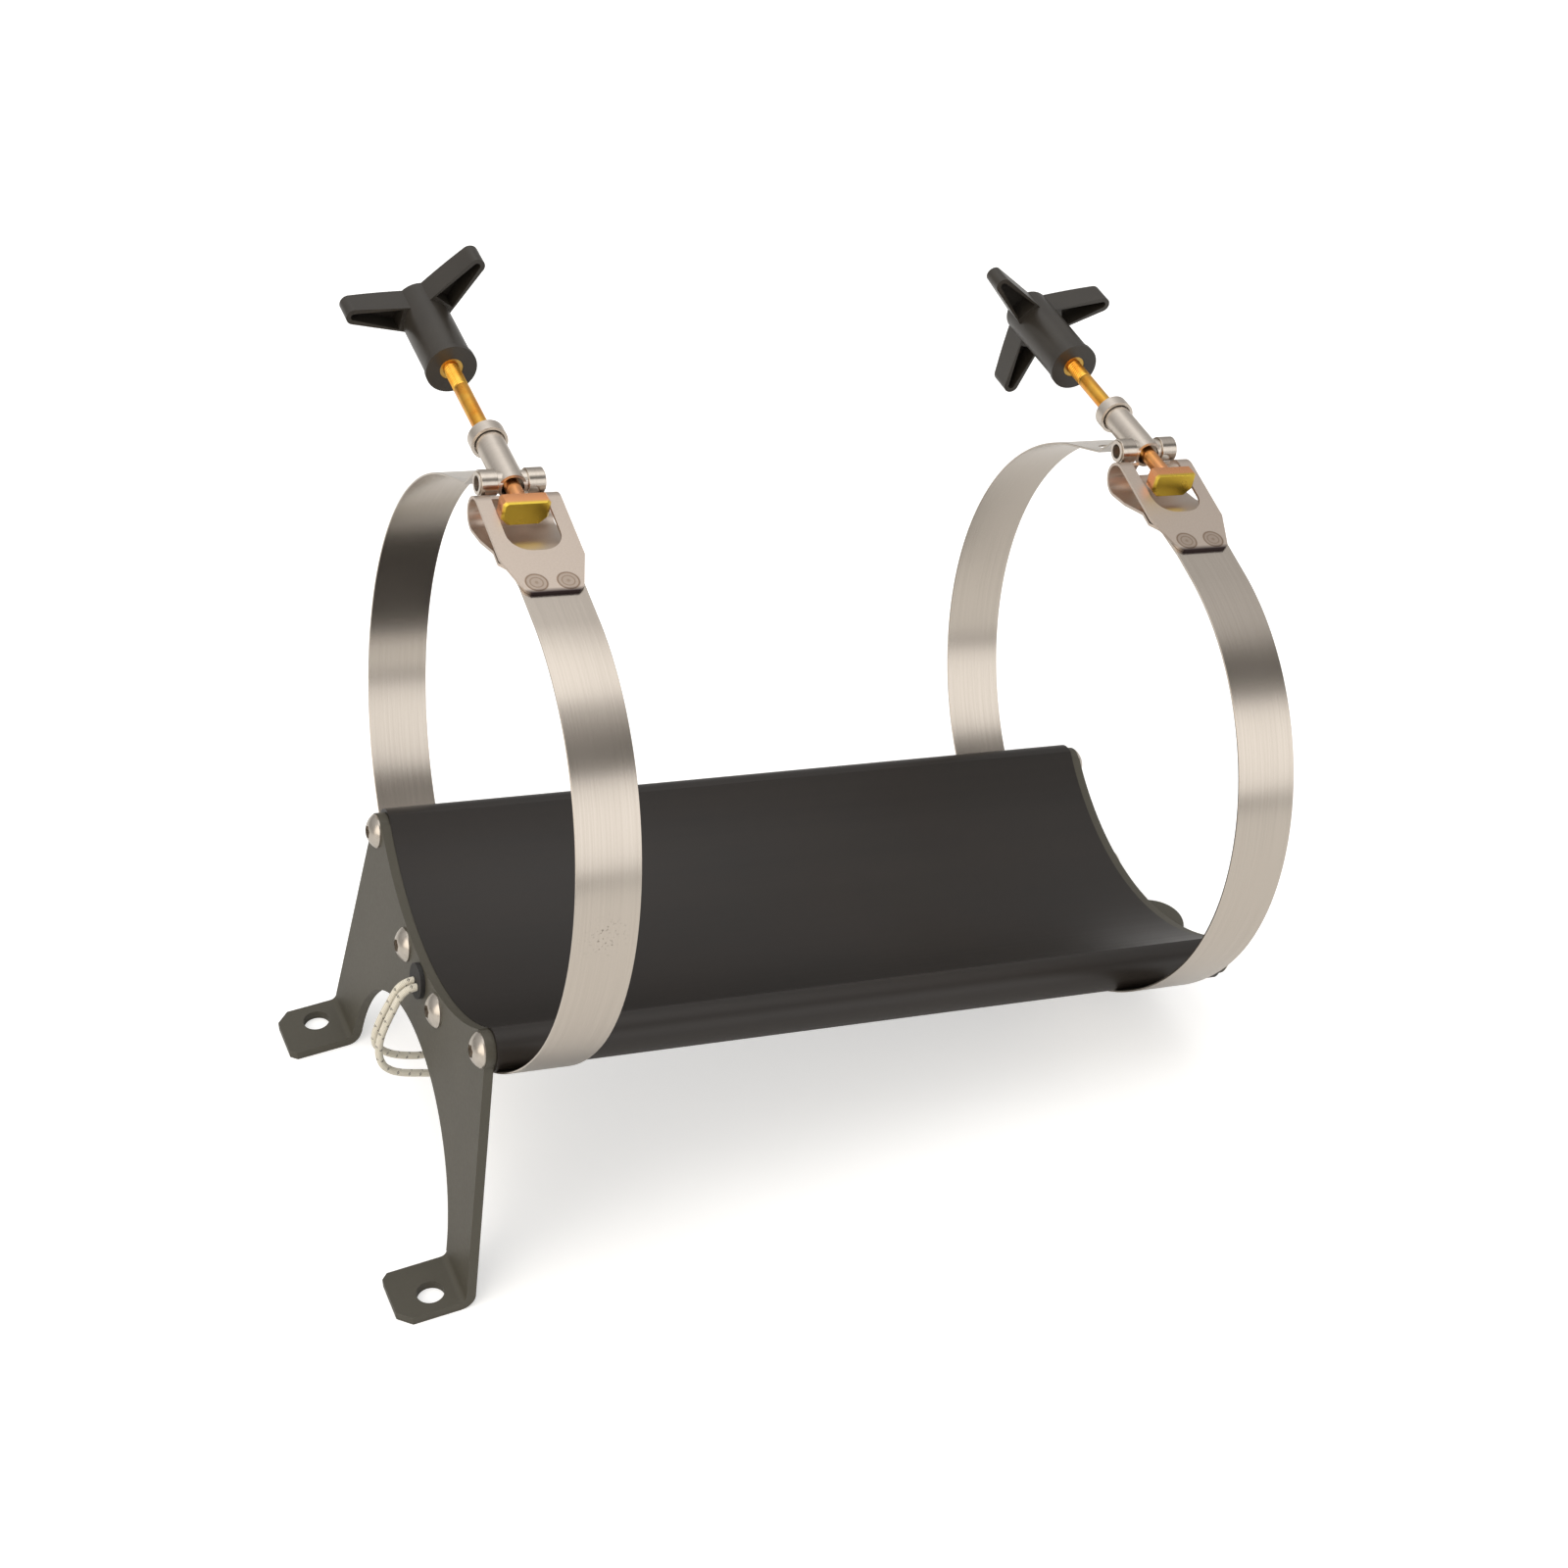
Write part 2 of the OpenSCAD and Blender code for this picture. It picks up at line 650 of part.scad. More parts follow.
band_line =
    let (along = [cos(front_slope), sin(front_slope)],
         front_from = front_c + front_r * front_n,
         front_len = (front_line - front_from) * along - window_l - band_short)
    concat([front_from + front_len * along],
           arc_points(front_c, front_r, 90 + front_slope, 180 + front_turn, arc_step),
           arc_points(trough_c, band_r, 180 + front_turn + join_a, 360 - rear_turn - join_a, arc_step),
           arc_points(rear_c, rear_r, -rear_turn, 90 - rear_slope, arc_step),
           [kink],
           arc_points(hinge, roll_r, roll_start, roll_start + roll_sweep, roll_step));

// Normal of a line at one of its points, halfway between its two stretches
function line_normal(p, i) =
    let (t = way(p, i), last = len(p) - 1,
         d = i == 0 || i == last ? t : unit(p[i] - p[i - 1]))
    [-t[1], t[0]] / (t * d);

// A sheet of even thickness along a centre line
module sheet(line, t) {
    last = len(line) - 1;
    polygon(concat([for (i = [0 : last]) line[i] + t / 2 * line_normal(line, i)],
                   [for (i = [last : -1 : 0]) line[i] - t / 2 * line_normal(line, i)]));
}

module band(x) {
    color("gainsboro") to_ground() difference() {
        across(x, band_w) sheet(band_line, band_t);
        translate([x - cutout_w / 2, hinge_y - 2 * roll_r, hinge_z - cutout_l])
            cube([cutout_w, cutout_l - cutout_w / 2 + 2 * roll_r, cutout_l + 2 * roll_r]);
        translate([x, hinge_y + cutout_l - cutout_w / 2, hinge_z - cutout_l])
            cylinder(d = cutout_w, h = cutout_l);
    }
}

// --- Latch loops --------------------------------------------------------

// Centre line of the folded sheet: the top leaf, the curl, its floor and the
// tail, which is welded under the band, one band thickness below the top leaf
loop_line =
    let (mid_r = curl_r - loop_t / 2,
         along = [cos(front_slope), sin(front_slope)],
         top = curl_c + mid_r * front_n,
         front = top - loop_l / cos(front_slope) * along,
         curl = arc_points(curl_c, mid_r, 90 + front_slope, -90 - floor_slope, roll_step),
         floor_end = curl[len(curl) - 1] + floor_l * [-cos(floor_slope), sin(floor_slope)],
         tail_drop = loop_t + band_t + 2 * seat_gap,
         tail_start = top - tail_drop * front_n - (window_l - tail_past) * along)
    concat([front], curl, [floor_end, tail_start, front - tail_drop * front_n]);

module latch_loop(x) {
    color("lightgray") to_ground() difference() {
        across(x, loop_w) sheet(loop_line, loop_t);
        loop_shoulders(x);
        across(x, window_w) window_side();
        // Slot for the shank, down the back of the curl
        translate([x - shank_slot_w / 2, curl_c[0], curl_c[1] - shank_slot_drop])
            cube([shank_slot_w, 2 * curl_r, 3 * curl_r]);
    }
}

// What is cut away beside the narrow front, which is as wide as the band
module loop_shoulders(x) {
    front_y = loop_line[0][0] - past;
    shoulder_y = curl_c[0] - shoulder_l;
    for (s = [-1, 1])
        translate([x, 0, curl_c[1] - 4 * curl_r])
            linear_extrude(8 * curl_r)
                polygon([[s * loop_w, front_y], [s * band_w / 2, front_y],
                         [s * band_w / 2, shoulder_y - shoulder_slope_l],
                         [s * loop_w / 2, shoulder_y], [s * loop_w, shoulder_y]]);
}

// Side view of the window: the top leaf and the curl above its sill
module window_side() {
    along = [cos(front_slope), sin(front_slope)];
    leaf_under = curl_c + (curl_r - loop_t - band_t / 2) * front_n;
    sill_z = curl_c[1] + window_sill;
    polygon([leaf_under - window_l * along, leaf_under, [leaf_under[0], sill_z],
             [curl_c[0] + 2 * curl_r, sill_z],
             [curl_c[0] + 2 * curl_r, curl_c[1] + 3 * curl_r],
             leaf_under - window_l * along + 2 * curl_r * front_n]);
}

// --- Trunnions ----------------------------------------------------------

// Local frame of a bolt: +Z runs out along the shank from the hinge axis
module on_bolt(x, bolt_tilt) {
    to_ground() translate([x, hinge_y, hinge_z]) rotate([bolt_tilt - 90, 0, 0]) children();
}

module trunnion(x, bolt_tilt) {
    barrel_l = band_w + 2 * barrel_past;
    color("silver") on_bolt(x, bolt_tilt) difference() {
        union() {
            translate([-barrel_l / 2, 0, 0])
                rotate([0, 90, 0]) cylinder(d = barrel_d, h = barrel_l);
            cylinder(d = tube_d, h = tube_l);
        }
        translate([0, 0, tube_bore_from]) cylinder(d = tube_bore, h = tube_l);
        translate([0, 0, -barrel_d]) cylinder(d = rod_d + 2 * run_fit, h = 2 * barrel_d);
    }
}

module thrust_collar(x, bolt_tilt) {
    color("darkgray") on_bolt(x, bolt_tilt)
        translate([0, 0, tube_l - collar_skirt]) difference() {
            cylinder(d = collar_d, h = collar_skirt + collar_t);
            translate([0, 0, -past])
                cylinder(d = tube_d + 2 * collar_gap, h = collar_skirt + past);
            cylinder(d = rod_d + 2 * run_fit, h = 2 * collar_skirt + 2 * collar_t);
        }
}

// --- T-bolts ------------------------------------------------------------

module t_bolt(x, bolt_tilt, head_at) {
    color("goldenrod") on_bolt(x, bolt_tilt) translate([0, 0, -head_at]) {
        translate([0, head_h / 2, 0])
            rotate([90, 0, 0])
                linear_extrude(head_h)
                    polygon([[-head_w / 2, head_t / 2], [head_w / 2, head_t / 2],
                             [head_w / 2, head_chamfer - head_t / 2],
                             [head_w / 2 - head_chamfer, -head_t / 2],
                             [head_chamfer - head_w / 2, -head_t / 2],
                             [-head_w / 2, head_chamfer - head_t / 2]]);
        cylinder(d = rod_d, h = rod_l + head_t / 2);
    }
}

// --- Knobs --------------------------------------------------------------

module arm_plan(root_w, tip_w, from, to) {
    tip_at = to - tip_w / 2;
    polygon([[from, -root_w / 2], [tip_at, -tip_w / 2], [tip_at, tip_w / 2], [from, root_w / 2]]);
    translate([tip_at, 0]) circle(d = tip_w);
}

// Local frame of a knob: its hub stands on Z = 0 round the Z axis
module knob_shape() {
    core_from = hub_d / 2 + arm_wall / 2;
    difference() {
        intersection() {
            union() {
                cylinder(d = hub_d, h = hub_l);
                cylinder(d = hub_rim_d, h = hub_rim_h);
                for (a = [0, 120, 240])
                    rotate([0, 0, a])
                        translate([0, 0, hub_l - arm_t])
                            linear_extrude(arm_t)
                                arm_plan(arm_root_w, arm_tip_w, 0, arm_r);
            }
            translate([0, 0, hub_l - dome_r]) sphere(r = dome_r, $fn = 90);
        }
        for (a = [0, 120, 240])
            rotate([0, 0, a])
                translate([0, 0, hub_l - arm_t - past])
                    linear_extrude(arm_t - arm_top_t - dome_h / 2 + past)
                        arm_plan(arm_root_w - 2 * arm_wall, arm_tip_w - 2 * arm_wall,
                                 core_from, arm_r - arm_wall);
        translate([0, 0, -past])
            cylinder(d = insert_d + 2 * run_fit,
                     h = past + insert_sunk + insert_l + insert_end_gap);
        cylinder(d = rod_d + 2 * hub_bore_gap, h = hub_l - hub_top_t);
    }
}

module knob(x, bolt_tilt, foot_at, turn) {
    color("dimgray") on_bolt(x, bolt_tilt)
        translate([0, 0, foot_at]) rotate([0, 0, -turn]) knob_shape();
}

module knob_insert(x, bolt_tilt, foot_at) {
    color("gold") on_bolt(x, bolt_tilt) translate([0, 0, foot_at + insert_sunk]) difference() {
        cylinder(d = insert_d, h = insert_l);
        translate([0, 0, -past]) cylinder(d = rod_d + 2 * run_fit, h = insert_l + 2 * past);
    }
}

// --- The two latches ----------------------------------------------------

near_knob_foot = near_knob_at - near_head_at;
far_knob_foot = far_knob_at - far_head_at;

module near_band() { band(near_band_x); }
module near_latch_loop() { latch_loop(near_band_x); }
module near_trunnion() { trunnion(near_band_x, near_bolt_tilt); }
module near_thrust_collar() { thrust_collar(near_band_x, near_bolt_tilt); }
module near_t_bolt() { t_bolt(near_band_x, near_bolt_tilt, near_head_at); }
module near_knob() { knob(near_band_x, near_bolt_tilt, near_knob_foot, near_knob_turn); }
module near_knob_insert() { knob_insert(near_band_x, near_bolt_tilt, near_knob_foot); }

module far_band() { band(far_band_x); }
module far_latch_loop() { latch_loop(far_band_x); }
module far_trunnion() { trunnion(far_band_x, far_bolt_tilt); }
module far_thrust_collar() { thrust_collar(far_band_x, far_bolt_tilt); }
module far_t_bolt() { t_bolt(far_band_x, far_bolt_tilt, far_head_at); }
module far_knob() { knob(far_band_x, far_bolt_tilt, far_knob_foot, far_knob_turn); }
module far_knob_insert() { knob_insert(far_band_x, far_bolt_tilt, far_knob_foot); }

saddle();
heater_mat();
near_end_plate();
far_end_plate();
near_plate_screws();
far_plate_screws();
lead_grommet();
lead_a();
lead_b();
near_band();
near_latch_loop();
near_trunnion();
near_thrust_collar();
near_t_bolt();
near_knob();
near_knob_insert();
far_band();
far_latch_loop();
far_trunnion();
far_thrust_collar();
far_t_bolt();
far_knob();
far_knob_insert();
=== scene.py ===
# %% [markdown]
# # A heated gas cylinder bracket
# A gas cylinder lies in a tilted trough and two steel bands hold it down. The
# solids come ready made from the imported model. Here they get their finishes,
# and the pieces whose looks depend on fine form are made again: the braided
# leads, the rolled bands, the pressed latches and the threaded T-bolts.

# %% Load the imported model
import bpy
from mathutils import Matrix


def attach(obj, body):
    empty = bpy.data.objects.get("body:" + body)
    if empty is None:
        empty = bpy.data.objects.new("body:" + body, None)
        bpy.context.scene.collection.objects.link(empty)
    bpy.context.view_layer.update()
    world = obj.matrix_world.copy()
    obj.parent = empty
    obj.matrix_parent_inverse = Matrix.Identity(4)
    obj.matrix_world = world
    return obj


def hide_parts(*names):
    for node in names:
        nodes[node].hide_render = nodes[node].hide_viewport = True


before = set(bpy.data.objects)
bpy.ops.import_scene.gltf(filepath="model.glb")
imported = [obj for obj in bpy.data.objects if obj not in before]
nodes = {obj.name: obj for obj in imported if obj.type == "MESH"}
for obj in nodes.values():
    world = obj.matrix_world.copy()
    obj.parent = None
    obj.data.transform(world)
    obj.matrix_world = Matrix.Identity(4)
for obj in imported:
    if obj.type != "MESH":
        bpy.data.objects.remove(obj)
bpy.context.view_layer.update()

# %% Modules and units
import math
import bpy
from mathutils import Matrix, Vector
from mathutils.geometry import delaunay_2d_cdt

MM = 0.001  # one millimetre in metres

# %% [markdown]
# ## Camera
# A normal lens from above the near left end shows both latches, the trough and
# the near end plate.

# %% Camera
camera = bpy.data.objects.new("camera", bpy.data.cameras.new("camera"))
bpy.context.scene.collection.objects.link(camera)
camera.matrix_world = Matrix.Translation((-0.17200, -0.91911, 0.95415)) @ Matrix((
    (0.926275, 0.247532, -0.284153),
    (-0.376656, 0.583978, -0.719097),
    (-0.012060, 0.773109, 0.634158))).to_4x4()
camera.data.lens = 71.008
camera.data.sensor_width = 36
bpy.context.scene.camera = camera
print("camera height in metres:", round(camera.location.z, 3))

# %% [markdown]
# ## The saddle's own frame
# The saddle leans by 11.6 degrees, so its pieces are easier to draw in a frame
# that leans with it: x along the saddle, y across it and z out of the trough.
# One function turns such a point, in millimetres, into the shared frame.

# %% Leaning frame
TILT = math.radians(11.6)
PLATE_T, BEND_R, LEG_DROP, FOOT_HOLE_AT, SADDLE_L = 4, 3, 191.8, 9.3, 328
TROUGH_R, TROUGH_UP, SADDLE_T = 112.6, 15.9, 17.3
BEND_OUT = PLATE_T + BEND_R
HOLE_X = -BEND_OUT + BEND_OUT * math.sin(TILT) - FOOT_HOLE_AT * math.cos(TILT)
HOLE_Z = -LEG_DROP - BEND_OUT * math.cos(TILT) - FOOT_HOLE_AT * math.sin(TILT)


def to_ground(x, y, z):
    x, z = x - HOLE_X, z - HOLE_Z
    return Vector((x * math.cos(TILT) + z * math.sin(TILT), y,
                   z * math.cos(TILT) - x * math.sin(TILT))) * MM


print("near end of the trough line:", [round(v, 4) for v in to_ground(0, 0, 0)])

# %% [markdown]
# ## Making a piece from points and faces
# Every piece below is a mesh made in code. This helper stores where each point
# lies on the flat material, in metres, as its UV. A grain or a weave can then
# follow the piece round its bends.


# %% Mesh helper
def make_piece(name, points, faces, flat=None, sharp=35):
    mesh = bpy.data.meshes.new(name)
    mesh.from_pydata([tuple(p) for p in points], [], faces)
    if flat:
        layer = mesh.uv_layers.new(name="flat")
        for loop in mesh.loops:
            layer.data[loop.index].uv = flat[loop.vertex_index]
    mesh.shade_smooth()
    mesh.set_sharp_from_angle(angle=math.radians(sharp))
    mesh.validate()
    piece = bpy.data.objects.new(name, mesh)
    bpy.context.scene.collection.objects.link(piece)
    print(name, "has", len(mesh.polygons), "faces")
    return piece


# %% [markdown]
# ## Braided leads
# Two thin leads in a glass fibre braid come out of the rubber grommet, drop,
# and run back under the saddle. Each is one smooth curve through chosen points,
# and its length is printed. A tube is swept along it, so that the braid's pattern
# can be measured round and along the lead.

# %% Lead routes
LEAD_D = 3.2 * MM
LEAD_EXIT_X = (3, -1.5, -6)
GROMMET_DEEP, LEADS_APART = 8.4, 4.4
GROMMET_Z = TROUGH_UP - (TROUGH_R + GROMMET_DEEP)
LEAD_LOW = 1.4
ROUTE_A = [(24.6, -2.2, 90.2), (22.1, -2.3, 89.2), (19.7, -2.6, 87.2),
           (16.5, -3.3, 82.6), (12, -4.7, 76), (9, -5.4, 69.5), (7.8, -5.9, 63),
           (8.7, -6, 57), (11.5, -5.5, 52.3), (16, -5, 48.5), (23.4, -3, 43.5),
           (31.5, 0, 38.2), (41.5, 6, 33.5), (51.5, 19, 28), (60.5, 36, 21),
           (68.5, 55, 13), (76.5, 75, 6), (85.5, 93, 2.6), (96.5, 108, 1.8),
           (111.5, 119, 1.8), (130.5, 126, 1.8), (150.5, 130, 1.8),
           (169, 132, 1.8), (187, 133, 1.8)]
ROUTE_B = [(24.6, 2.2, 90.2), (22.1, 2.2, 89.2), (19.8, 2.1, 87.2),
           (16.4, 1.6, 82.6), (11.8, 0.7, 76), (8.7, 0, 69.7), (8.2, 0.8, 63.2),
           (10.7, 2, 57.4), (14.8, 3.4, 52.3), (20.5, 5.2, 47.5), (28, 7.2, 43),
           (36.5, 11, 39), (45.5, 20, 34), (54.5, 32, 28), (63.5, 50, 20.5),
           (71.5, 69, 12.5), (79.5, 89, 5.8), (88.5, 108, 2.4), (99.5, 123, 1.8),
           (115.5, 133, 1.8), (136.5, 139, 1.8), (154, 142, 1.8),
           (170, 143.5, 1.8), (187, 144.5, 1.8)]


# %% Smooth curve through the points
def smooth_path(points, steps):
    path = []
    for i in range(len(points) - 1):
        a, b, c, d = (points[max(0, min(len(points) - 1, i + k))] for k in (-1, 0, 1, 2))
        for j in range(steps):
            u = j / steps
            path.append(0.5 * (2 * b + (c - a) * u + (2 * a - 5 * b + 4 * c - d) * u * u
                               + (3 * b - a - 3 * c + d) * u ** 3))
    return path + [points[-1]]


def make_lead(name, side, route, node):
    start = [to_ground(x, side * LEADS_APART / 2, GROMMET_Z - LEAD_LOW) for x in LEAD_EXIT_X]
    path = smooth_path(start + [Vector(p) * MM for p in route], 14)
    ring, points, flat, along = 16, [], [], 0.0
    across = Vector((0, 1, 0))
    for i, p in enumerate(path):
        way = (path[min(i + 1, len(path) - 1)] - path[max(i - 1, 0)]).normalized()
        across = (across - across.dot(way) * way).normalized()
        other = way.cross(across)
        along += (p - path[i - 1]).length if i else 0
        for j in range(ring + 1):
            turn = math.tau * j / ring
            points.append(p + LEAD_D / 2 * (math.cos(turn) * across + math.sin(turn) * other))
            flat.append((LEAD_D / 2 * turn, along))
    faces = [(i * (ring + 1) + j, i * (ring + 1) + j + 1,
              (i + 1) * (ring + 1) + j + 1, (i + 1) * (ring + 1) + j)
             for i in range(len(path) - 1) for j in range(ring)]
    last = (len(path) - 1) * (ring + 1)
    faces += [tuple(range(ring - 1, -1, -1)), tuple(last + j for j in range(ring))]
    lead = make_piece(name, points, faces, flat, sharp=60)
    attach(lead, "bracket")
    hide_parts(node)
    print(name, "length in mm:", round(along / MM, 1))
    return lead


leads = [make_lead("braided_lead_a", -1, ROUTE_A, "lead_a"),
         make_lead("braided_lead_b", 1, ROUTE_B, "lead_b")]

# %% [markdown]
# ## Sheet metal, cut flat and then folded
# Bands and latches are cut from flat strip and bent. The same two steps are
# used here: an outline is drawn on the flat, with x across the strip and s
# along it, and is then folded along a side view line. The rows of cuts at each
# bend come from a constrained triangulation, so holes and round ends keep
# their exact outline wherever they meet a bend.


# %% Lines in the side view
def arc(centre, radius, start, end, step):
    count = math.ceil(abs(end - start) / step)
    return [Vector((centre[0] + radius * math.cos(math.radians(start + (end - start) * i / count)),
                    centre[1] + radius * math.sin(math.radians(start + (end - start) * i / count))))
            for i in range(count + 1)]


def inside(point, outline):
    hit = False
    for (x0, s0), (x1, s1) in zip(outline, outline[1:] + outline[:1]):
        if (s0 > point[1]) != (s1 > point[1]):
            if point[0] < x0 + (point[1] - s0) * (x1 - x0) / (s1 - s0):
                hit = not hit
    return hit


def stations(line):
    s = [0.0]
    for a, b in zip(line, line[1:]):
        s.append(s[-1] + (b - a).length)
    return s


# %% Cut and fold a sheet
def fold_sheet(name, line, x, thick, outline, holes=()):
    s = stations(line)
    mitre = []
    for i in range(len(line)):
        back = (line[i] - line[i - 1]).normalized() if i else None
        fore = (line[i + 1] - line[i]).normalized() if i < len(line) - 1 else None
        way = ((back or fore) + (fore or back)).normalized()
        mitre.append(Vector((-way.y, way.x)) / way.dot(back or fore))
    edges, flat = [], []
    for loop in (outline, *holes):
        n = len(flat)
        flat += [Vector(p) for p in loop]
        edges += [(n + i, n + (i + 1) % len(loop)) for i in range(len(loop))]
    wide = max(abs(p[0]) for p in outline) + 1
    for value in s[1:-1]:
        flat += [Vector((-wide, value)), Vector((wide, value))]
        edges.append((len(flat) - 2, len(flat) - 1))
    flat, _, triangles = delaunay_2d_cdt(flat, edges, [], 0, 1e-6)[:3]
    keep = []
    for tri in triangles:
        middle = sum((flat[i] for i in tri), Vector((0, 0))) / 3
        if inside(middle, outline) and not any(inside(middle, hole) for hole in holes):
            keep.append(tri)
    used = sorted({i for tri in keep for i in tri})
    place = {old: new for new, old in enumerate(used)}
    faces = [tuple(place[i] for i in tri) for tri in keep]
    points = []
    for side in (0.5, -0.5):
        for i in used:
            across, value = flat[i]
            k = max(0, min(len(s) - 2, next((q for q, v in enumerate(s) if v > value), len(s)) - 1))
            u = max(0.0, min(1.0, (value - s[k]) / (s[k + 1] - s[k])))
            at = line[k].lerp(line[k + 1], u) + side * thick * mitre[k].lerp(mitre[k + 1], u)
            points.append(to_ground(x + across, at.x, at.y))
    half = len(used)
    count = {}
    for tri in faces:
        for a, b in zip(tri, tri[1:] + tri[:1]):
            count[(a, b)] = count.get((a, b), 0) + 1
    rim = [(a, b) for a, b in count if (b, a) not in count]
    all_faces = [tuple(reversed(f)) for f in faces]
    all_faces += [tuple(half + i for i in f) for f in faces]
    all_faces += [(a, b, half + b, half + a) for a, b in rim]
    on_flat = [(flat[i][0] * MM, flat[i][1] * MM) for i in used] * 2
    return make_piece(name, points, all_faces, on_flat)


# %% [markdown]
# ## Bands
# Each band is a 25.4 mm stainless strip, 0.8 mm thick, that runs round the back
# of the saddle. Its rear end is rolled round the latch's trunnion in two ears,
# with a slot between them for the shank. The side view is made of three arcs
# that meet smoothly, a short slope and the roll.

# %% Side view of a band
BAND_W, BAND_T = 25.4, 0.8
BAND_X = {"near": 13.9, "far": SADDLE_L - 36.9}
TROUGH_C = Vector((0, TROUGH_UP))
BAND_GAP = 0.1
BAND_R = TROUGH_R + SADDLE_T + BAND_GAP + BAND_T / 2
HINGE = Vector((24.6, 115.9))
KINK = HINGE + Vector((13.4, -7.9))
CURL_C = HINGE - Vector((10.3, 7.4))
CURL_R, LATCH_T = 7.2, 1.2
WINDOW_L, BAND_SHORT = 26.3, 1
BARREL_R, RUN_FIT, ROLL_SWEEP = 4.3, 0.06, 215
ARC_STEP, ROLL_STEP, CURL_STEP = 1.2, 6, 5
FRONT_SLOPE, REAR_SLOPE, FRONT_TURN, REAR_TURN = 12.9, 23.4, 30, 45
front_n = Vector((-math.sin(math.radians(FRONT_SLOPE)), math.cos(math.radians(FRONT_SLOPE))))
rear_n = Vector((math.sin(math.radians(REAR_SLOPE)), math.cos(math.radians(REAR_SLOPE))))


def side_arc(turn, normal, through):
    turn = math.radians(turn)
    out = Vector((math.copysign(math.cos(turn), normal.x), -math.sin(turn)))
    k = normal.dot(out)
    r = (normal.dot(through) - normal.y * TROUGH_C.y - BAND_R * k) / (1 - k)
    return r, Vector((out.x * (BAND_R - r), TROUGH_C.y - math.sin(turn) * (BAND_R - r)))


# %% Band line from its front tip to the roll
under_latch = CURL_C + (CURL_R - LATCH_T - BAND_GAP - BAND_T / 2) * front_n
front_r, front_c = side_arc(FRONT_TURN, front_n, under_latch)
rear_r, rear_c = side_arc(REAR_TURN, rear_n, KINK)
along_front = -Vector((-front_n.y, front_n.x))
front_from = front_c + front_r * front_n
front_len = (under_latch - front_from).dot(along_front) - WINDOW_L - BAND_SHORT
roll_r = BARREL_R + RUN_FIT + BAND_T / 2
to_kink = KINK - HINGE
roll_start = math.degrees(math.atan2(to_kink.y, to_kink.x) + math.acos(roll_r / to_kink.length))
band_line = ([front_from + front_len * along_front]
             + arc(front_c, front_r, 90 + FRONT_SLOPE, 180 + FRONT_TURN, ARC_STEP)
             + arc(TROUGH_C, BAND_R, 180 + FRONT_TURN + 1, 360 - REAR_TURN - 1, ARC_STEP)
             + arc(rear_c, rear_r, -REAR_TURN, 90 - REAR_SLOPE, ARC_STEP)
             + [KINK] + arc(HINGE, roll_r, roll_start, roll_start + ROLL_SWEEP, ROLL_STEP))
print("strip in a band, mm:", round(stations(band_line)[-1], 1))

# %% Cut-out between the ears, and the bands
CUTOUT_W, CUTOUT_L, REAR_STRETCH = 12.2, 28, 75
band_s = stations(band_line)
rear_rows = [(p.x, s) for p, s in zip(band_line, band_s)
             if s > band_s[-1] - REAR_STRETCH and p.x >= KINK.x - 1e-6]


def along_at(y):
    for (y0, s0), (y1, s1) in zip(rear_rows, rear_rows[1:]):
        if y1 <= y <= y0:
            return s0 + (y0 - y) * (s1 - s0) / (y0 - y1)


half_w, end_s, cut = BAND_W / 2, band_s[-1], CUTOUT_W / 2
round_end = [(cut * math.cos(math.radians(a)),
              along_at(HINGE.x + CUTOUT_L - cut + cut * math.sin(math.radians(a))))
             for a in range(180, -1, -10)]
band_outline = [(-half_w, 0), (-half_w, end_s), (-cut, end_s), *round_end,
                (cut, end_s), (half_w, end_s), (half_w, 0)]
bands = {}
for side, x in BAND_X.items():
    bands[side] = fold_sheet(side + "_clamp_band", band_line, x, BAND_T, band_outline)
    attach(bands[side], "bracket")
    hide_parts(side + "_band")

# %% [markdown]
# ## Latches
# A latch is a wider sheet, folded round into a hook that the T-head pulls on,
# with a window in its top leaf for the head. The leaf narrows to its tip, where
# it is spot welded to the band. The window's front is a wide U.

# %% Side view and flat outline of a latch
LEAF_L, WINDOW_W, SHOULDER_L, LATCH_W = 47.3, 21.8, 29.5, 33.6
CURL_END, FLOOR_L, FLOOR_SLOPE, TAIL_PAST = -98, 9.8, 8, 2
cos_f = math.cos(math.radians(FRONT_SLOPE))
mid_r = CURL_R - LATCH_T / 2
leaf_end = CURL_C + mid_r * front_n
leaf_dir = Vector((cos_f, math.sin(math.radians(FRONT_SLOPE))))
leaf_tip = leaf_end - LEAF_L / cos_f * leaf_dir
curl = arc(CURL_C, mid_r, 90 + FRONT_SLOPE, CURL_END, CURL_STEP)
floor_end = curl[-1] + FLOOR_L * Vector((-math.cos(math.radians(FLOOR_SLOPE)),
                                         math.sin(math.radians(FLOOR_SLOPE))))
drop = LATCH_T + BAND_T + 0.2
tail_start = leaf_end - drop * front_n - (WINDOW_L - TAIL_PAST) * leaf_dir
latch_line = [leaf_tip, *curl, floor_end, tail_start, leaf_tip - drop * front_n]
latch_s = stations(latch_line)
print("blank of a latch, mm:", round(latch_s[-1], 1), "by", LATCH_W)

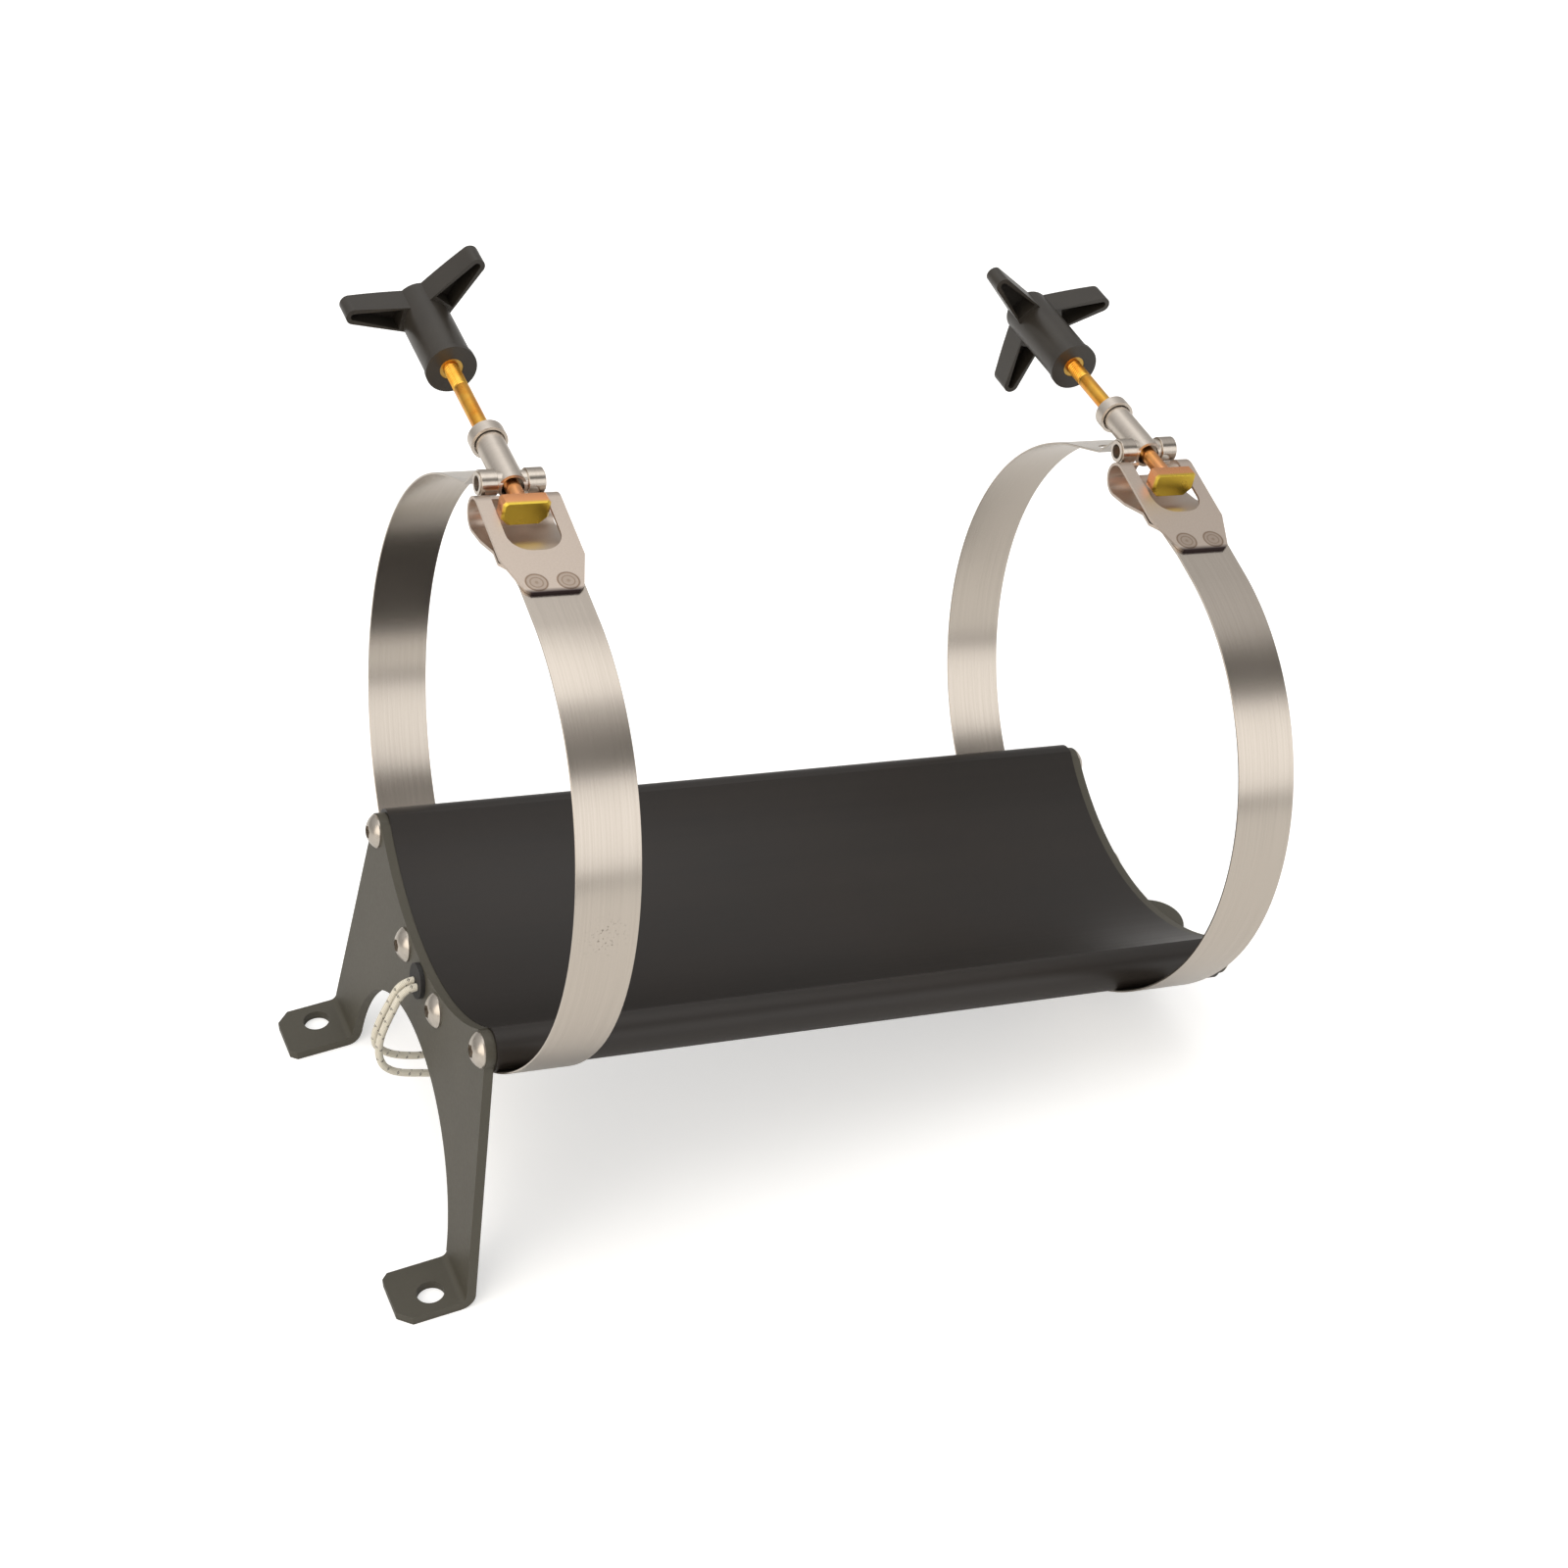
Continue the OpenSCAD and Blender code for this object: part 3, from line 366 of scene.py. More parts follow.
# %% Window, shank slot and tapered ends
SILL_UP, SLOT_DOWN, SLOT_W, WINDOW_CORNER, SLOT_CORNER = 4, 2.2, 8.4, 9, 1.5
TIP_HALF = 11.5
leaf_s = latch_s[1]
sill = leaf_s + mid_r * math.radians(90 + FRONT_SLOPE - math.degrees(math.asin(SILL_UP / mid_r)))
slot_end = leaf_s + mid_r * math.radians(90 + FRONT_SLOPE + math.degrees(math.asin(SLOT_DOWN / mid_r)))
win, corner, slot = WINDOW_W / 2, WINDOW_CORNER, SLOT_W / 2
win_front = leaf_s - WINDOW_L / cos_f
window = [(-win + corner - corner * math.cos(math.radians(a)),
           win_front + corner - corner * math.sin(math.radians(a))) for a in range(0, 91, 10)]
window += [(-p[0], p[1]) for p in reversed(window)]
window += [(win, sill), (slot, sill), (slot, slot_end - SLOT_CORNER),
           (slot - SLOT_CORNER, slot_end), (SLOT_CORNER - slot, slot_end),
           (-slot, slot_end - SLOT_CORNER), (-slot, sill), (-win, sill)]
shoulder, wide = leaf_s - SHOULDER_L / cos_f, LATCH_W / 2
tail_end, tail_wide = latch_s[-1], latch_s[-1] - (LEAF_L - SHOULDER_L) / cos_f
right = [(TIP_HALF - 2.2, 0), (TIP_HALF, 1.8), (wide, shoulder), (wide, tail_wide),
         (BAND_W / 2, tail_wide + 4), (TIP_HALF, tail_end)]
latch_outline = right + [(-x, s) for x, s in reversed(right)]
latches = {}
for side, x in BAND_X.items():
    latches[side] = fold_sheet(side + "_latch_hook", latch_line, x, LATCH_T, latch_outline, [window])
    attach(latches[side], "bracket")
    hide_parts(side + "_latch_loop")

# %% [markdown]
# ## T-bolts
# A bar head on a 6.35 mm shank hooks behind the latch, and the last part of the
# shank has a fine thread, 20 turns to the inch. The thread is a height field on
# the shank: its radius falls and rises once a turn, so it winds as a real one.

# %% Frame of a bolt
BOLT_LEAN = {"near": math.radians(4.8), "far": math.radians(2)}
HEAD_AT = {"near": 17.6, "far": 24.2}


def on_bolt(side, x, y, z):
    lean = BOLT_LEAN[side]
    return to_ground(BAND_X[side] + x, HINGE.x + y * math.sin(lean) + z * math.cos(lean),
                     HINGE.y - y * math.cos(lean) + z * math.sin(lean))


# %% Shank with its thread, and the head
ROD_R, ROD_L, PITCH, THREAD_FROM, THREAD_DEPTH = 6.35 / 2, 123, 1.27, 79, 0.42
HEAD_W, HEAD_H, HEAD_T = 19, 10.5, 6
LOW_CORNER, HIGH_CORNER, FACE_SHY = 3, 1, 1
HEAD_ROWS = [(-HEAD_T / 2, FACE_SHY), (-HEAD_T / 2 + FACE_SHY, 0), (HEAD_T / 2, 0)]


def head_outline(half_x, half_y):
    low, high = LOW_CORNER, HIGH_CORNER
    return [(low - half_x, half_y), (-half_x, half_y - low), (-half_x, high - half_y),
            (high - half_x, -half_y), (half_x - high, -half_y), (half_x, high - half_y),
            (half_x, half_y - low), (half_x - low, half_y)]


def shank_radius(z, turn):
    if z < THREAD_FROM:
        return ROD_R
    grow = min(1, (z - THREAD_FROM) / PITCH)
    end = min(1, max(0, (ROD_L - z) / PITCH))
    wave = abs(((z / PITCH - turn / math.tau) % 1) * 2 - 1)
    return ROD_R - THREAD_DEPTH * grow * min(1, max(0, 1.3 * wave - 0.1)) - 0.5 * (1 - end)


def make_bolt(side):
    ring = 28
    rows = [HEAD_T / 2 - 0.5] + [THREAD_FROM * k / 8 for k in range(1, 9)]
    rows += [THREAD_FROM + PITCH / 6 * k for k in range(1, int((ROD_L - THREAD_FROM) * 6 / PITCH) + 1)]
    rows.append(ROD_L)
    points, flat = [], []
    for z in rows:
        for j in range(ring):
            turn = math.tau * j / ring
            r = shank_radius(z, turn)
            points.append(on_bolt(side, r * math.cos(turn), r * math.sin(turn), z - HEAD_AT[side]))
            flat.append((r * turn * MM, z * MM))
    faces = [(i * ring + j, i * ring + (j + 1) % ring, (i + 1) * ring + (j + 1) % ring,
              (i + 1) * ring + j) for i in range(len(rows) - 1) for j in range(ring)]
    faces += [tuple(range(ring - 1, -1, -1)), tuple((len(rows) - 1) * ring + j for j in range(ring))]
    n = len(points)
    for z, shy in HEAD_ROWS:
        outline = head_outline(HEAD_W / 2 - shy, HEAD_H / 2 - shy / 2)
        for x, y in outline:
            points.append(on_bolt(side, x, y, z - HEAD_AT[side]))
            flat.append((x * MM, z * MM))
    m = len(outline)
    for row in range(len(HEAD_ROWS) - 1):
        a, b = n + row * m, n + (row + 1) * m
        faces += [(a + i, a + (i + 1) % m, b + (i + 1) % m, b + i) for i in range(m)]
    faces += [tuple(n + i for i in range(m - 1, -1, -1)),
              tuple(n + (len(HEAD_ROWS) - 1) * m + i for i in range(m))]
    bolt = make_piece(side + "_threaded_t_bolt", points, faces, flat, sharp=40)
    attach(bolt, side + "_t_bolt")
    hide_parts(side + "_t_bolt")
    return bolt


bolts = {side: make_bolt(side) for side in BAND_X}

# %% [markdown]
# ## Trunnions
# A trunnion is a barrel that turns in the band's ears, with a tube across it
# that the shank passes through. Both are hollow, and the tube is open in front.
# Rods are joined and then bored, as on a lathe and a mill.

# %% Hollow trunnions
BARREL_L, BARREL_BORE_R = 26.4, 3.0
TUBE_R, TUBE_BORE_R, TUBE_FROM, TUBE_TO, PAST = 5.7, 4.55, -3.6, 27.8, 3


def make_rod(name, place, radius, start, end, ring=64):
    points = [place(radius * math.cos(math.tau * j / ring), radius * math.sin(math.tau * j / ring), z)
              for z in (start, end) for j in range(ring)]
    faces = [(j, (j + 1) % ring, ring + (j + 1) % ring, ring + j) for j in range(ring)]
    faces += [tuple(range(ring - 1, -1, -1)), tuple(ring + j for j in range(ring))]
    return make_piece(name, points, faces)


def combine(target, other, operation):
    step = target.modifiers.new("step", "BOOLEAN")
    step.operation, step.object, step.solver = operation, other, "EXACT"
    bpy.context.view_layer.update()
    solved = bpy.data.meshes.new_from_object(
        target.evaluated_get(bpy.context.evaluated_depsgraph_get()))
    target.modifiers.clear()
    target.data = solved
    bpy.data.objects.remove(other)


def make_trunnion(side):
    def down_tube(x, y, z):
        return on_bolt(side, x, y, z)

    def down_barrel(x, y, z):
        return on_bolt(side, z, x, y)

    half = BARREL_L / 2
    piece = make_rod(side + "_hollow_trunnion", down_tube, TUBE_R, TUBE_FROM, TUBE_TO)
    combine(piece, make_rod("barrel", down_barrel, BARREL_R, -half, half), "UNION")
    combine(piece, make_rod("barrel_bore", down_barrel, BARREL_BORE_R, -half - PAST, half + PAST),
            "DIFFERENCE")
    combine(piece, make_rod("tube_bore", down_tube, TUBE_BORE_R, TUBE_FROM - PAST, TUBE_TO + PAST),
            "DIFFERENCE")
    piece.data.shade_smooth()
    piece.data.set_sharp_from_angle(angle=math.radians(35))
    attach(piece, side + "_trunnion")
    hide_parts(side + "_trunnion")
    return piece


trunnions = {side: make_trunnion(side) for side in BAND_X}

# %% [markdown]
# ## Colours and nodes
# Colours are written as they look on a screen. Blender works in linear light,
# so one function converts them. A second one adds a node: its settings come as
# keywords, and each input takes a value or another node's output.


# %% Colour and node helpers
def linear(code):
    channels = [int(code[i:i + 2], 16) / 255 for i in (1, 3, 5)]
    return tuple(c / 12.92 if c <= 0.04045 else ((c + 0.055) / 1.055) ** 2.4
                 for c in channels) + (1.0,)


def add(tree, kind, inputs=None, **settings):
    node = tree.nodes.new(kind)
    for key, value in settings.items():
        setattr(node, key, value)
    for key, value in (inputs or {}).items():
        if isinstance(value, bpy.types.NodeSocket):
            tree.links.new(value, node.inputs[key])
        else:
            node.inputs[key].default_value = value
    return node


def new_material(name):
    material = bpy.data.materials.new(name)
    material.use_nodes = True
    material.node_tree.nodes.clear()
    return material, material.node_tree


def close_material(tree, shader):
    add(tree, "ShaderNodeOutputMaterial", {"Surface": shader.outputs["BSDF"]})


def give(material, *objects):
    for thing in objects:
        if not thing.material_slots:
            thing.data.materials.append(material)
        for part in thing.material_slots:
            part.material = material
    print(material.name, "on", ", ".join(thing.name for thing in objects))


# %% [markdown]
# ## Black anodised aluminium
# The saddle is extruded, so it has faint lines along its length. Anodising dyes
# a hard oxide skin and leaves a satin black with a warm cast, not a painted
# one. The skin is clear oxide (IOR 1.6) over dark dye.

# %% Saddle finish
anodised, tree = new_material("black_anodised_aluminium")
place = add(tree, "ShaderNodeTexCoord")
lean = add(tree, "ShaderNodeMapping", {"Vector": place.outputs["Object"],
                                       "Rotation": (0, -TILT, 0)})
DIE_LINE = 1.5 * MM
line_map = add(tree, "ShaderNodeMapping", {"Vector": lean.outputs["Vector"],
                                           "Scale": (2, 1 / DIE_LINE / 3, 1 / DIE_LINE / 3)})
lines = add(tree, "ShaderNodeTexNoise", {"Vector": line_map.outputs["Vector"], "Scale": 1.0,
                                         "Detail": 3.0})
cloud = add(tree, "ShaderNodeTexNoise", {"Vector": lean.outputs["Vector"],
                                         "Scale": 1 / (60 * MM), "Detail": 2.0})
tone = add(tree, "ShaderNodeValToRGB", {"Fac": lines.outputs["Fac"]})
tone.color_ramp.elements[0].color = linear("#161310")
tone.color_ramp.elements[0].position = 0.3
tone.color_ramp.elements[1].color = linear("#1e1a16")
tone.color_ramp.elements[1].position = 0.7
warm = add(tree, "ShaderNodeMix", {0: cloud.outputs["Fac"], 6: tone.outputs["Color"],
                                   7: linear("#231b15")}, data_type="RGBA")
rough = add(tree, "ShaderNodeMapRange", {0: lines.outputs["Fac"], 3: 0.40, 4: 0.50})
grain = add(tree, "ShaderNodeBump", {"Height": lines.outputs["Fac"], "Strength": 0.12,
                                     "Distance": 0.1 * MM})
close_material(tree, add(tree, "ShaderNodeBsdfPrincipled", {
    "Base Color": warm.outputs[2], "Roughness": rough.outputs[0], "IOR": 1.6,
    "Metallic": 0.25, "Normal": grain.outputs["Normal"]}))
give(anodised, nodes["saddle"])

# %% [markdown]
# ## Powder-coated plate
# The end plates are laser cut and bent steel with a satin black powder coat.
# Powder flows into a fine orange peel, about 1.5 mm across, that breaks up the
# light.

# %% End plate finish
coated, tree = new_material("satin_black_powder_coat")
place = add(tree, "ShaderNodeTexCoord")
peel = add(tree, "ShaderNodeTexNoise", {"Vector": place.outputs["Object"],
                                        "Scale": 1 / (1.5 * MM), "Detail": 2.0})
cloud = add(tree, "ShaderNodeTexNoise", {"Vector": place.outputs["Object"],
                                         "Scale": 1 / (45 * MM), "Detail": 3.0})
tone = add(tree, "ShaderNodeMix", {0: cloud.outputs["Fac"], 6: linear("#423f35"),
                                   7: linear("#4f4b40")}, data_type="RGBA")
rough = add(tree, "ShaderNodeMapRange", {0: peel.outputs["Fac"], 3: 0.48, 4: 0.60})
bump = add(tree, "ShaderNodeBump", {"Height": peel.outputs["Fac"], "Strength": 0.25,
                                    "Distance": 0.06 * MM})
close_material(tree, add(tree, "ShaderNodeBsdfPrincipled", {
    "Base Color": tone.outputs[2], "Roughness": rough.outputs[0], "IOR": 1.5,
    "Normal": bump.outputs["Normal"]}))
give(coated, nodes["near_end_plate"], nodes["far_end_plate"])

# %% [markdown]
# ## Stainless steel, four ways
# The same steel looks different after each process: the strip of a band is
# rolled bright, the latch is pressed and dull, screws are tumbled and the
# trunnion is turned. Roughness, tint and the direction of the marks change
# between them. The latch has its welds too, and the near band a few dark specks
# on its front.

# %% Rolled strip of the bands
ROLL_MARK, SMUDGE_R, SMUDGE_TURN = 0.35 * MM, 11 * MM, 172
SMUDGE_AT = (front_len + front_r * math.radians(SMUDGE_TURN - 90 - FRONT_SLOPE)) * MM


def rolled_strip(name, worn):
    rolled, tree = new_material(name)
    place = add(tree, "ShaderNodeUVMap", uv_map="flat")
    marks_map = add(tree, "ShaderNodeMapping", {"Vector": place.outputs["UV"],
                                                "Scale": (1 / ROLL_MARK / 2, 12, 1)})
    marks = add(tree, "ShaderNodeTexNoise", {"Vector": marks_map.outputs["Vector"],
                                             "Scale": 1.0, "Detail": 4.0})
    haze_cloud = add(tree, "ShaderNodeTexNoise", {"Vector": place.outputs["UV"],
                                                  "Scale": 1 / (45 * MM), "Detail": 1.0})
    tone = add(tree, "ShaderNodeMix", {0: marks.outputs["Fac"], 6: linear("#bab0a5"),
                                       7: linear("#cdc4b9")}, data_type="RGBA")
    haze = add(tree, "ShaderNodeMapRange", {0: haze_cloud.outputs["Fac"], 1: 0.2, 2: 0.8,
                                            3: 0.20, 4: 0.27})
    from_mark = add(tree, "ShaderNodeVectorMath", {0: place.outputs["UV"], 1: (0, SMUDGE_AT, 0)},
                    operation="DISTANCE")
    near_mark = add(tree, "ShaderNodeMapRange", {0: from_mark.outputs["Value"], 1: SMUDGE_R,
                                                 2: 0.3 * SMUDGE_R})
    specks = add(tree, "ShaderNodeTexNoise", {"Vector": place.outputs["UV"],
                                              "Scale": 1 / (1.1 * MM), "Detail": 3.0})
    dots = add(tree, "ShaderNodeMapRange", {0: specks.outputs["Fac"], 1: 0.60, 2: 0.66})
    dirt = add(tree, "ShaderNodeMath", {0: near_mark.outputs[0], 1: dots.outputs[0]},
               operation="MULTIPLY")
    dirt = add(tree, "ShaderNodeMath", {0: dirt.outputs[0], 1: 0.7 * worn}, operation="MULTIPLY")
    marked = add(tree, "ShaderNodeMix", {0: dirt.outputs[0], 6: tone.outputs[2],
                                         7: linear("#6a625b")}, data_type="RGBA")
    bump = add(tree, "ShaderNodeBump", {"Height": marks.outputs["Fac"], "Strength": 0.08,
                                        "Distance": 0.02 * MM})
    close_material(tree, add(tree, "ShaderNodeBsdfPrincipled", {
        "Base Color": marked.outputs[2], "Metallic": 1.0, "Roughness": haze.outputs[0],
        "Normal": bump.outputs["Normal"]}))
    return rolled


give(rolled_strip("bright_rolled_stainless_with_specks", 1.0), bands["near"])
give(rolled_strip("bright_rolled_stainless", 0.0), bands["far"])

# %% Pressed latch, with its spot welds and heat tint
WELD_X, WELD_S, WELD_R = 6.2 * MM, 5.2 * MM, 4.2 * MM
pressed, tree = new_material("pressed_stainless_with_welds")
place = add(tree, "ShaderNodeUVMap", uv_map="flat")
parts = add(tree, "ShaderNodeSeparateXYZ", {"Vector": place.outputs["UV"]})
side_x = add(tree, "ShaderNodeMath", {0: parts.outputs["X"]}, operation="ABSOLUTE")
from_weld = add(tree, "ShaderNodeCombineXYZ", {
    "X": add(tree, "ShaderNodeMath", {0: side_x.outputs[0], 1: WELD_X},
             operation="SUBTRACT").outputs[0],
    "Y": add(tree, "ShaderNodeMath", {0: parts.outputs["Y"], 1: WELD_S},
             operation="SUBTRACT").outputs[0]})
reach = add(tree, "ShaderNodeVectorMath", {0: from_weld.outputs[0]}, operation="LENGTH")
ring = add(tree, "ShaderNodeValToRGB", {"Fac": add(tree, "ShaderNodeMath", {
    0: reach.outputs["Value"], 1: 1.4 * WELD_R}, operation="DIVIDE").outputs[0]})
ring.color_ramp.elements[0].color = (0.55, 0.55, 0.55, 1)
ring.color_ramp.elements[0].position = 0.08
ring.color_ramp.elements[1].color = (0, 0, 0, 1)
ring.color_ramp.elements[1].position = 0.80
for at, level in ((0.16, 0.35), (0.34, 0.32), (0.42, 0.65), (0.50, 0.30), (0.62, 0.34), (0.70, 0.85)):
    ring.color_ramp.elements.new(at).color = (level, level, level, 1)
tint = add(tree, "ShaderNodeMapRange", {0: parts.outputs["Y"], 1: 2.2 * MM, 2: 0.2 * MM,
                                        3: 0.0, 4: 1.0})
speck = add(tree, "ShaderNodeTexNoise", {"Vector": place.outputs["UV"],
                                         "Scale": 1 / (0.8 * MM), "Detail": 3.0})
steel = add(tree, "ShaderNodeMix", {0: speck.outputs["Fac"], 6: linear("#c5b6a9"),
                                    7: linear("#d2c5b9")}, data_type="RGBA")
browned = add(tree, "ShaderNodeMix", {0: ring.outputs["Color"], 6: steel.outputs[2],
                                      7: linear("#75593f")}, data_type="RGBA")
dark_tip = add(tree, "ShaderNodeMix", {0: tint.outputs[0], 6: browned.outputs[2],
                                       7: linear("#3a2f31")}, data_type="RGBA")
bump = add(tree, "ShaderNodeBump", {"Height": ring.outputs["Color"], "Strength": 0.5,
                                    "Distance": -0.12 * MM})
close_material(tree, add(tree, "ShaderNodeBsdfPrincipled", {
    "Base Color": dark_tip.outputs[2], "Metallic": 1.0, "Roughness": 0.42,
    "Normal": bump.outputs["Normal"]}))
give(pressed, *latches.values())

# %% Turned trunnions and collars
turned, tree = new_material("turned_stainless")
place = add(tree, "ShaderNodeTexCoord")
tool_map = add(tree, "ShaderNodeMapping", {"Vector": place.outputs["Object"],
                                           "Scale": (200, 1 / (0.5 * MM), 200)})
tool_marks = add(tree, "ShaderNodeTexNoise", {"Vector": tool_map.outputs["Vector"],
                                              "Scale": 1.0, "Detail": 2.0})
tone = add(tree, "ShaderNodeMix", {0: tool_marks.outputs["Fac"], 6: linear("#d0c6bb"),
                                   7: linear("#e0d7cc")}, data_type="RGBA")
bump = add(tree, "ShaderNodeBump", {"Height": tool_marks.outputs["Fac"], "Strength": 0.2,
                                    "Distance": 0.05 * MM})
rough = add(tree, "ShaderNodeMapRange", {0: tool_marks.outputs["Fac"], 3: 0.30, 4: 0.40})
close_material(tree, add(tree, "ShaderNodeBsdfPrincipled", {
    "Base Color": tone.outputs[2], "Metallic": 1.0, "Roughness": rough.outputs[0],
    "Normal": bump.outputs["Normal"]}))
give(turned, *trunnions.values(), *(nodes[side + "_thrust_collar"] for side in BAND_X))

# %% Tumbled button head screws
tumbled, tree = new_material("tumbled_stainless")
place = add(tree, "ShaderNodeTexCoord")
nicks = add(tree, "ShaderNodeTexNoise", {"Vector": place.outputs["Object"],
                                         "Scale": 1 / (2 * MM), "Detail": 4.0})
tone = add(tree, "ShaderNodeMix", {0: nicks.outputs["Fac"], 6: linear("#b4aca2"),
                                   7: linear("#cbc4ba")}, data_type="RGBA")
rough = add(tree, "ShaderNodeMapRange", {0: nicks.outputs["Fac"], 3: 0.24, 4: 0.34})
close_material(tree, add(tree, "ShaderNodeBsdfPrincipled", {
    "Base Color": tone.outputs[2], "Metallic": 1.0, "Roughness": rough.outputs[0]}))
give(tumbled, nodes["near_plate_screws"], nodes["far_plate_screws"])

# %% [markdown]
# ## Yellow zinc
# The T-bolts are zinc plated with a yellow chromate film. The film is thin, so
# its colour wanders from gold to orange. A slow noise mixes those tints. The
# head turns to copper, and its front face to an olive yellow.

# %% T-bolt finish
zinc, tree = new_material("yellow_chromate_zinc")
place = add(tree, "ShaderNodeTexCoord")
drift = add(tree, "ShaderNodeTexNoise", {"Vector": place.outputs["Object"],
                                         "Scale": 1 / (9 * MM), "Detail": 3.0})
tone = add(tree, "ShaderNodeValToRGB", {"Fac": drift.outputs["Fac"]})
tone.color_ramp.elements[0].color = linear("#ee9a34")
tone.color_ramp.elements[0].position = 0.32
tone.color_ramp.elements[1].color = linear("#f7c256")
tone.color_ramp.elements[1].position = 0.68
tone.color_ramp.elements.new(0.5).color = linear("#f4ad42")
along = add(tree, "ShaderNodeSeparateXYZ", {
    "Vector": add(tree, "ShaderNodeUVMap", uv_map="flat").outputs["UV"]})
HEAD_FACE, NEAR_HEAD = -1.5 * MM, 14 * MM
front = add(tree, "ShaderNodeMapRange", {0: along.outputs["Y"], 1: HEAD_FACE, 2: HEAD_FACE - 1 * MM})
copper = add(tree, "ShaderNodeMapRange", {0: along.outputs["Y"], 1: 2.2 * NEAR_HEAD, 2: 0.4 * NEAR_HEAD})
warmed = add(tree, "ShaderNodeMix", {0: copper.outputs[0], 6: tone.outputs["Color"],
                                     7: linear("#e8a473")}, data_type="RGBA")
greened = add(tree, "ShaderNodeMix", {0: front.outputs[0], 6: warmed.outputs[2],
                                      7: linear("#d0b548")}, data_type="RGBA")
bright = add(tree, "ShaderNodeMapRange", {0: drift.outputs["Fac"], 3: 0.22, 4: 0.34})
close_material(tree, add(tree, "ShaderNodeBsdfPrincipled", {
    "Base Color": greened.outputs[2], "Metallic": 1.0, "Roughness": bright.outputs[0]}))
give(zinc, *bolts.values())

# %% [markdown]
# ## Knobs and their inserts
# Each knob is moulded in glass-filled nylon round a turned brass insert. The
# moulding is a semi-gloss black with a very fine grain from the tool.

# %% Moulded knobs
nylon, tree = new_material("moulded_black_nylon")
place = add(tree, "ShaderNodeTexCoord")
skin = add(tree, "ShaderNodeTexNoise", {"Vector": place.outputs["Object"],
                                        "Scale": 1 / (0.9 * MM), "Detail": 2.0})
flow = add(tree, "ShaderNodeTexNoise", {"Vector": place.outputs["Object"],
                                        "Scale": 1 / (14 * MM), "Detail": 2.0})
tone = add(tree, "ShaderNodeMix", {0: flow.outputs["Fac"], 6: linear("#28241f"),
                                   7: linear("#36312a")}, data_type="RGBA")
rough = add(tree, "ShaderNodeMapRange", {0: flow.outputs["Fac"], 3: 0.30, 4: 0.42})
bump = add(tree, "ShaderNodeBump", {"Height": skin.outputs["Fac"], "Strength": 0.15,
                                    "Distance": 0.05 * MM})
close_material(tree, add(tree, "ShaderNodeBsdfPrincipled", {
    "Base Color": tone.outputs[2], "Roughness": rough.outputs[0], "IOR": 1.53,
    "Normal": bump.outputs["Normal"]}))
give(nylon, nodes["near_knob"], nodes["far_knob"])

# %% Brass inserts
brass, tree = new_material("turned_brass")
place = add(tree, "ShaderNodeTexCoord")
dull = add(tree, "ShaderNodeTexNoise", {"Vector": place.outputs["Object"],
                                        "Scale": 1 / (1.2 * MM), "Detail": 3.0})
tone = add(tree, "ShaderNodeMix", {0: dull.outputs["Fac"], 6: linear("#b98f45"),
                                   7: linear("#d9b566")}, data_type="RGBA")
rough = add(tree, "ShaderNodeMapRange", {0: dull.outputs["Fac"], 3: 0.26, 4: 0.38})
close_material(tree, add(tree, "ShaderNodeBsdfPrincipled", {
    "Base Color": tone.outputs[2], "Metallic": 1.0, "Roughness": rough.outputs[0]}))
give(brass, nodes["near_knob_insert"], nodes["far_knob_insert"])

# %% [markdown]
# ## Rubber and silicone
# The grommet is matt black rubber. The heater mat between saddle walls is
# orange silicone, pressed against a woven glass carrier whose weave, about
# 0.8 mm, shows through its skin.

# %% Grommet
rubber, tree = new_material("black_rubber")
place = add(tree, "ShaderNodeTexCoord")
bloom = add(tree, "ShaderNodeTexNoise", {"Vector": place.outputs["Object"],
                                         "Scale": 1 / (3 * MM), "Detail": 3.0})
tone = add(tree, "ShaderNodeMix", {0: bloom.outputs["Fac"], 6: linear("#171615"),
                                   7: linear("#262422")}, data_type="RGBA")
rough = add(tree, "ShaderNodeMapRange", {0: bloom.outputs["Fac"], 3: 0.60, 4: 0.78})
close_material(tree, add(tree, "ShaderNodeBsdfPrincipled", {
    "Base Color": tone.outputs[2], "Roughness": rough.outputs[0], "IOR": 1.52}))
give(rubber, nodes["lead_grommet"])

# %% Heater mat
silicone, tree = new_material("orange_silicone")
place = add(tree, "ShaderNodeTexCoord")
weave = add(tree, "ShaderNodeTexVoronoi", {"Vector": place.outputs["Object"],
                                           "Scale": 1 / (0.8 * MM), "Randomness": 0.15})
tone = add(tree, "ShaderNodeMix", {0: weave.outputs["Distance"], 6: linear("#d2652c"),
                                   7: linear("#a94c20")}, data_type="RGBA")
bump = add(tree, "ShaderNodeBump", {"Height": weave.outputs["Distance"], "Strength": 0.3,
                                    "Distance": 0.1 * MM})
close_material(tree, add(tree, "ShaderNodeBsdfPrincipled", {
    "Base Color": tone.outputs[2], "Roughness": 0.55, "IOR": 1.41,
    "Normal": bump.outputs["Normal"]}))
give(silicone, nodes["heater_mat"])

# %% [markdown]
# ## Glass fibre braid
# The sleeve is cream yarn braided in two directions, with black tracer yarns
# that surface in short slanted pairs about every 6 mm. The UV holds real
# lengths round and along the lead, so two slanted waves give the yarns, and
# their product gives the places where one crosses over the other.

# %% Lead finish
ROUND = math.pi * LEAD_D
YARNS, TRACER = 8, 6 * MM
braid, tree = new_material("braided_glass_fibre")
place = add(tree, "ShaderNodeUVMap", uv_map="flat")
parts = add(tree, "ShaderNodeSeparateXYZ", {"Vector": place.outputs["UV"]})
turns = add(tree, "ShaderNodeMath", {0: parts.outputs["X"], 1: ROUND}, operation="DIVIDE")
runs = add(tree, "ShaderNodeMath", {0: parts.outputs["Y"], 1: TRACER}, operation="DIVIDE")


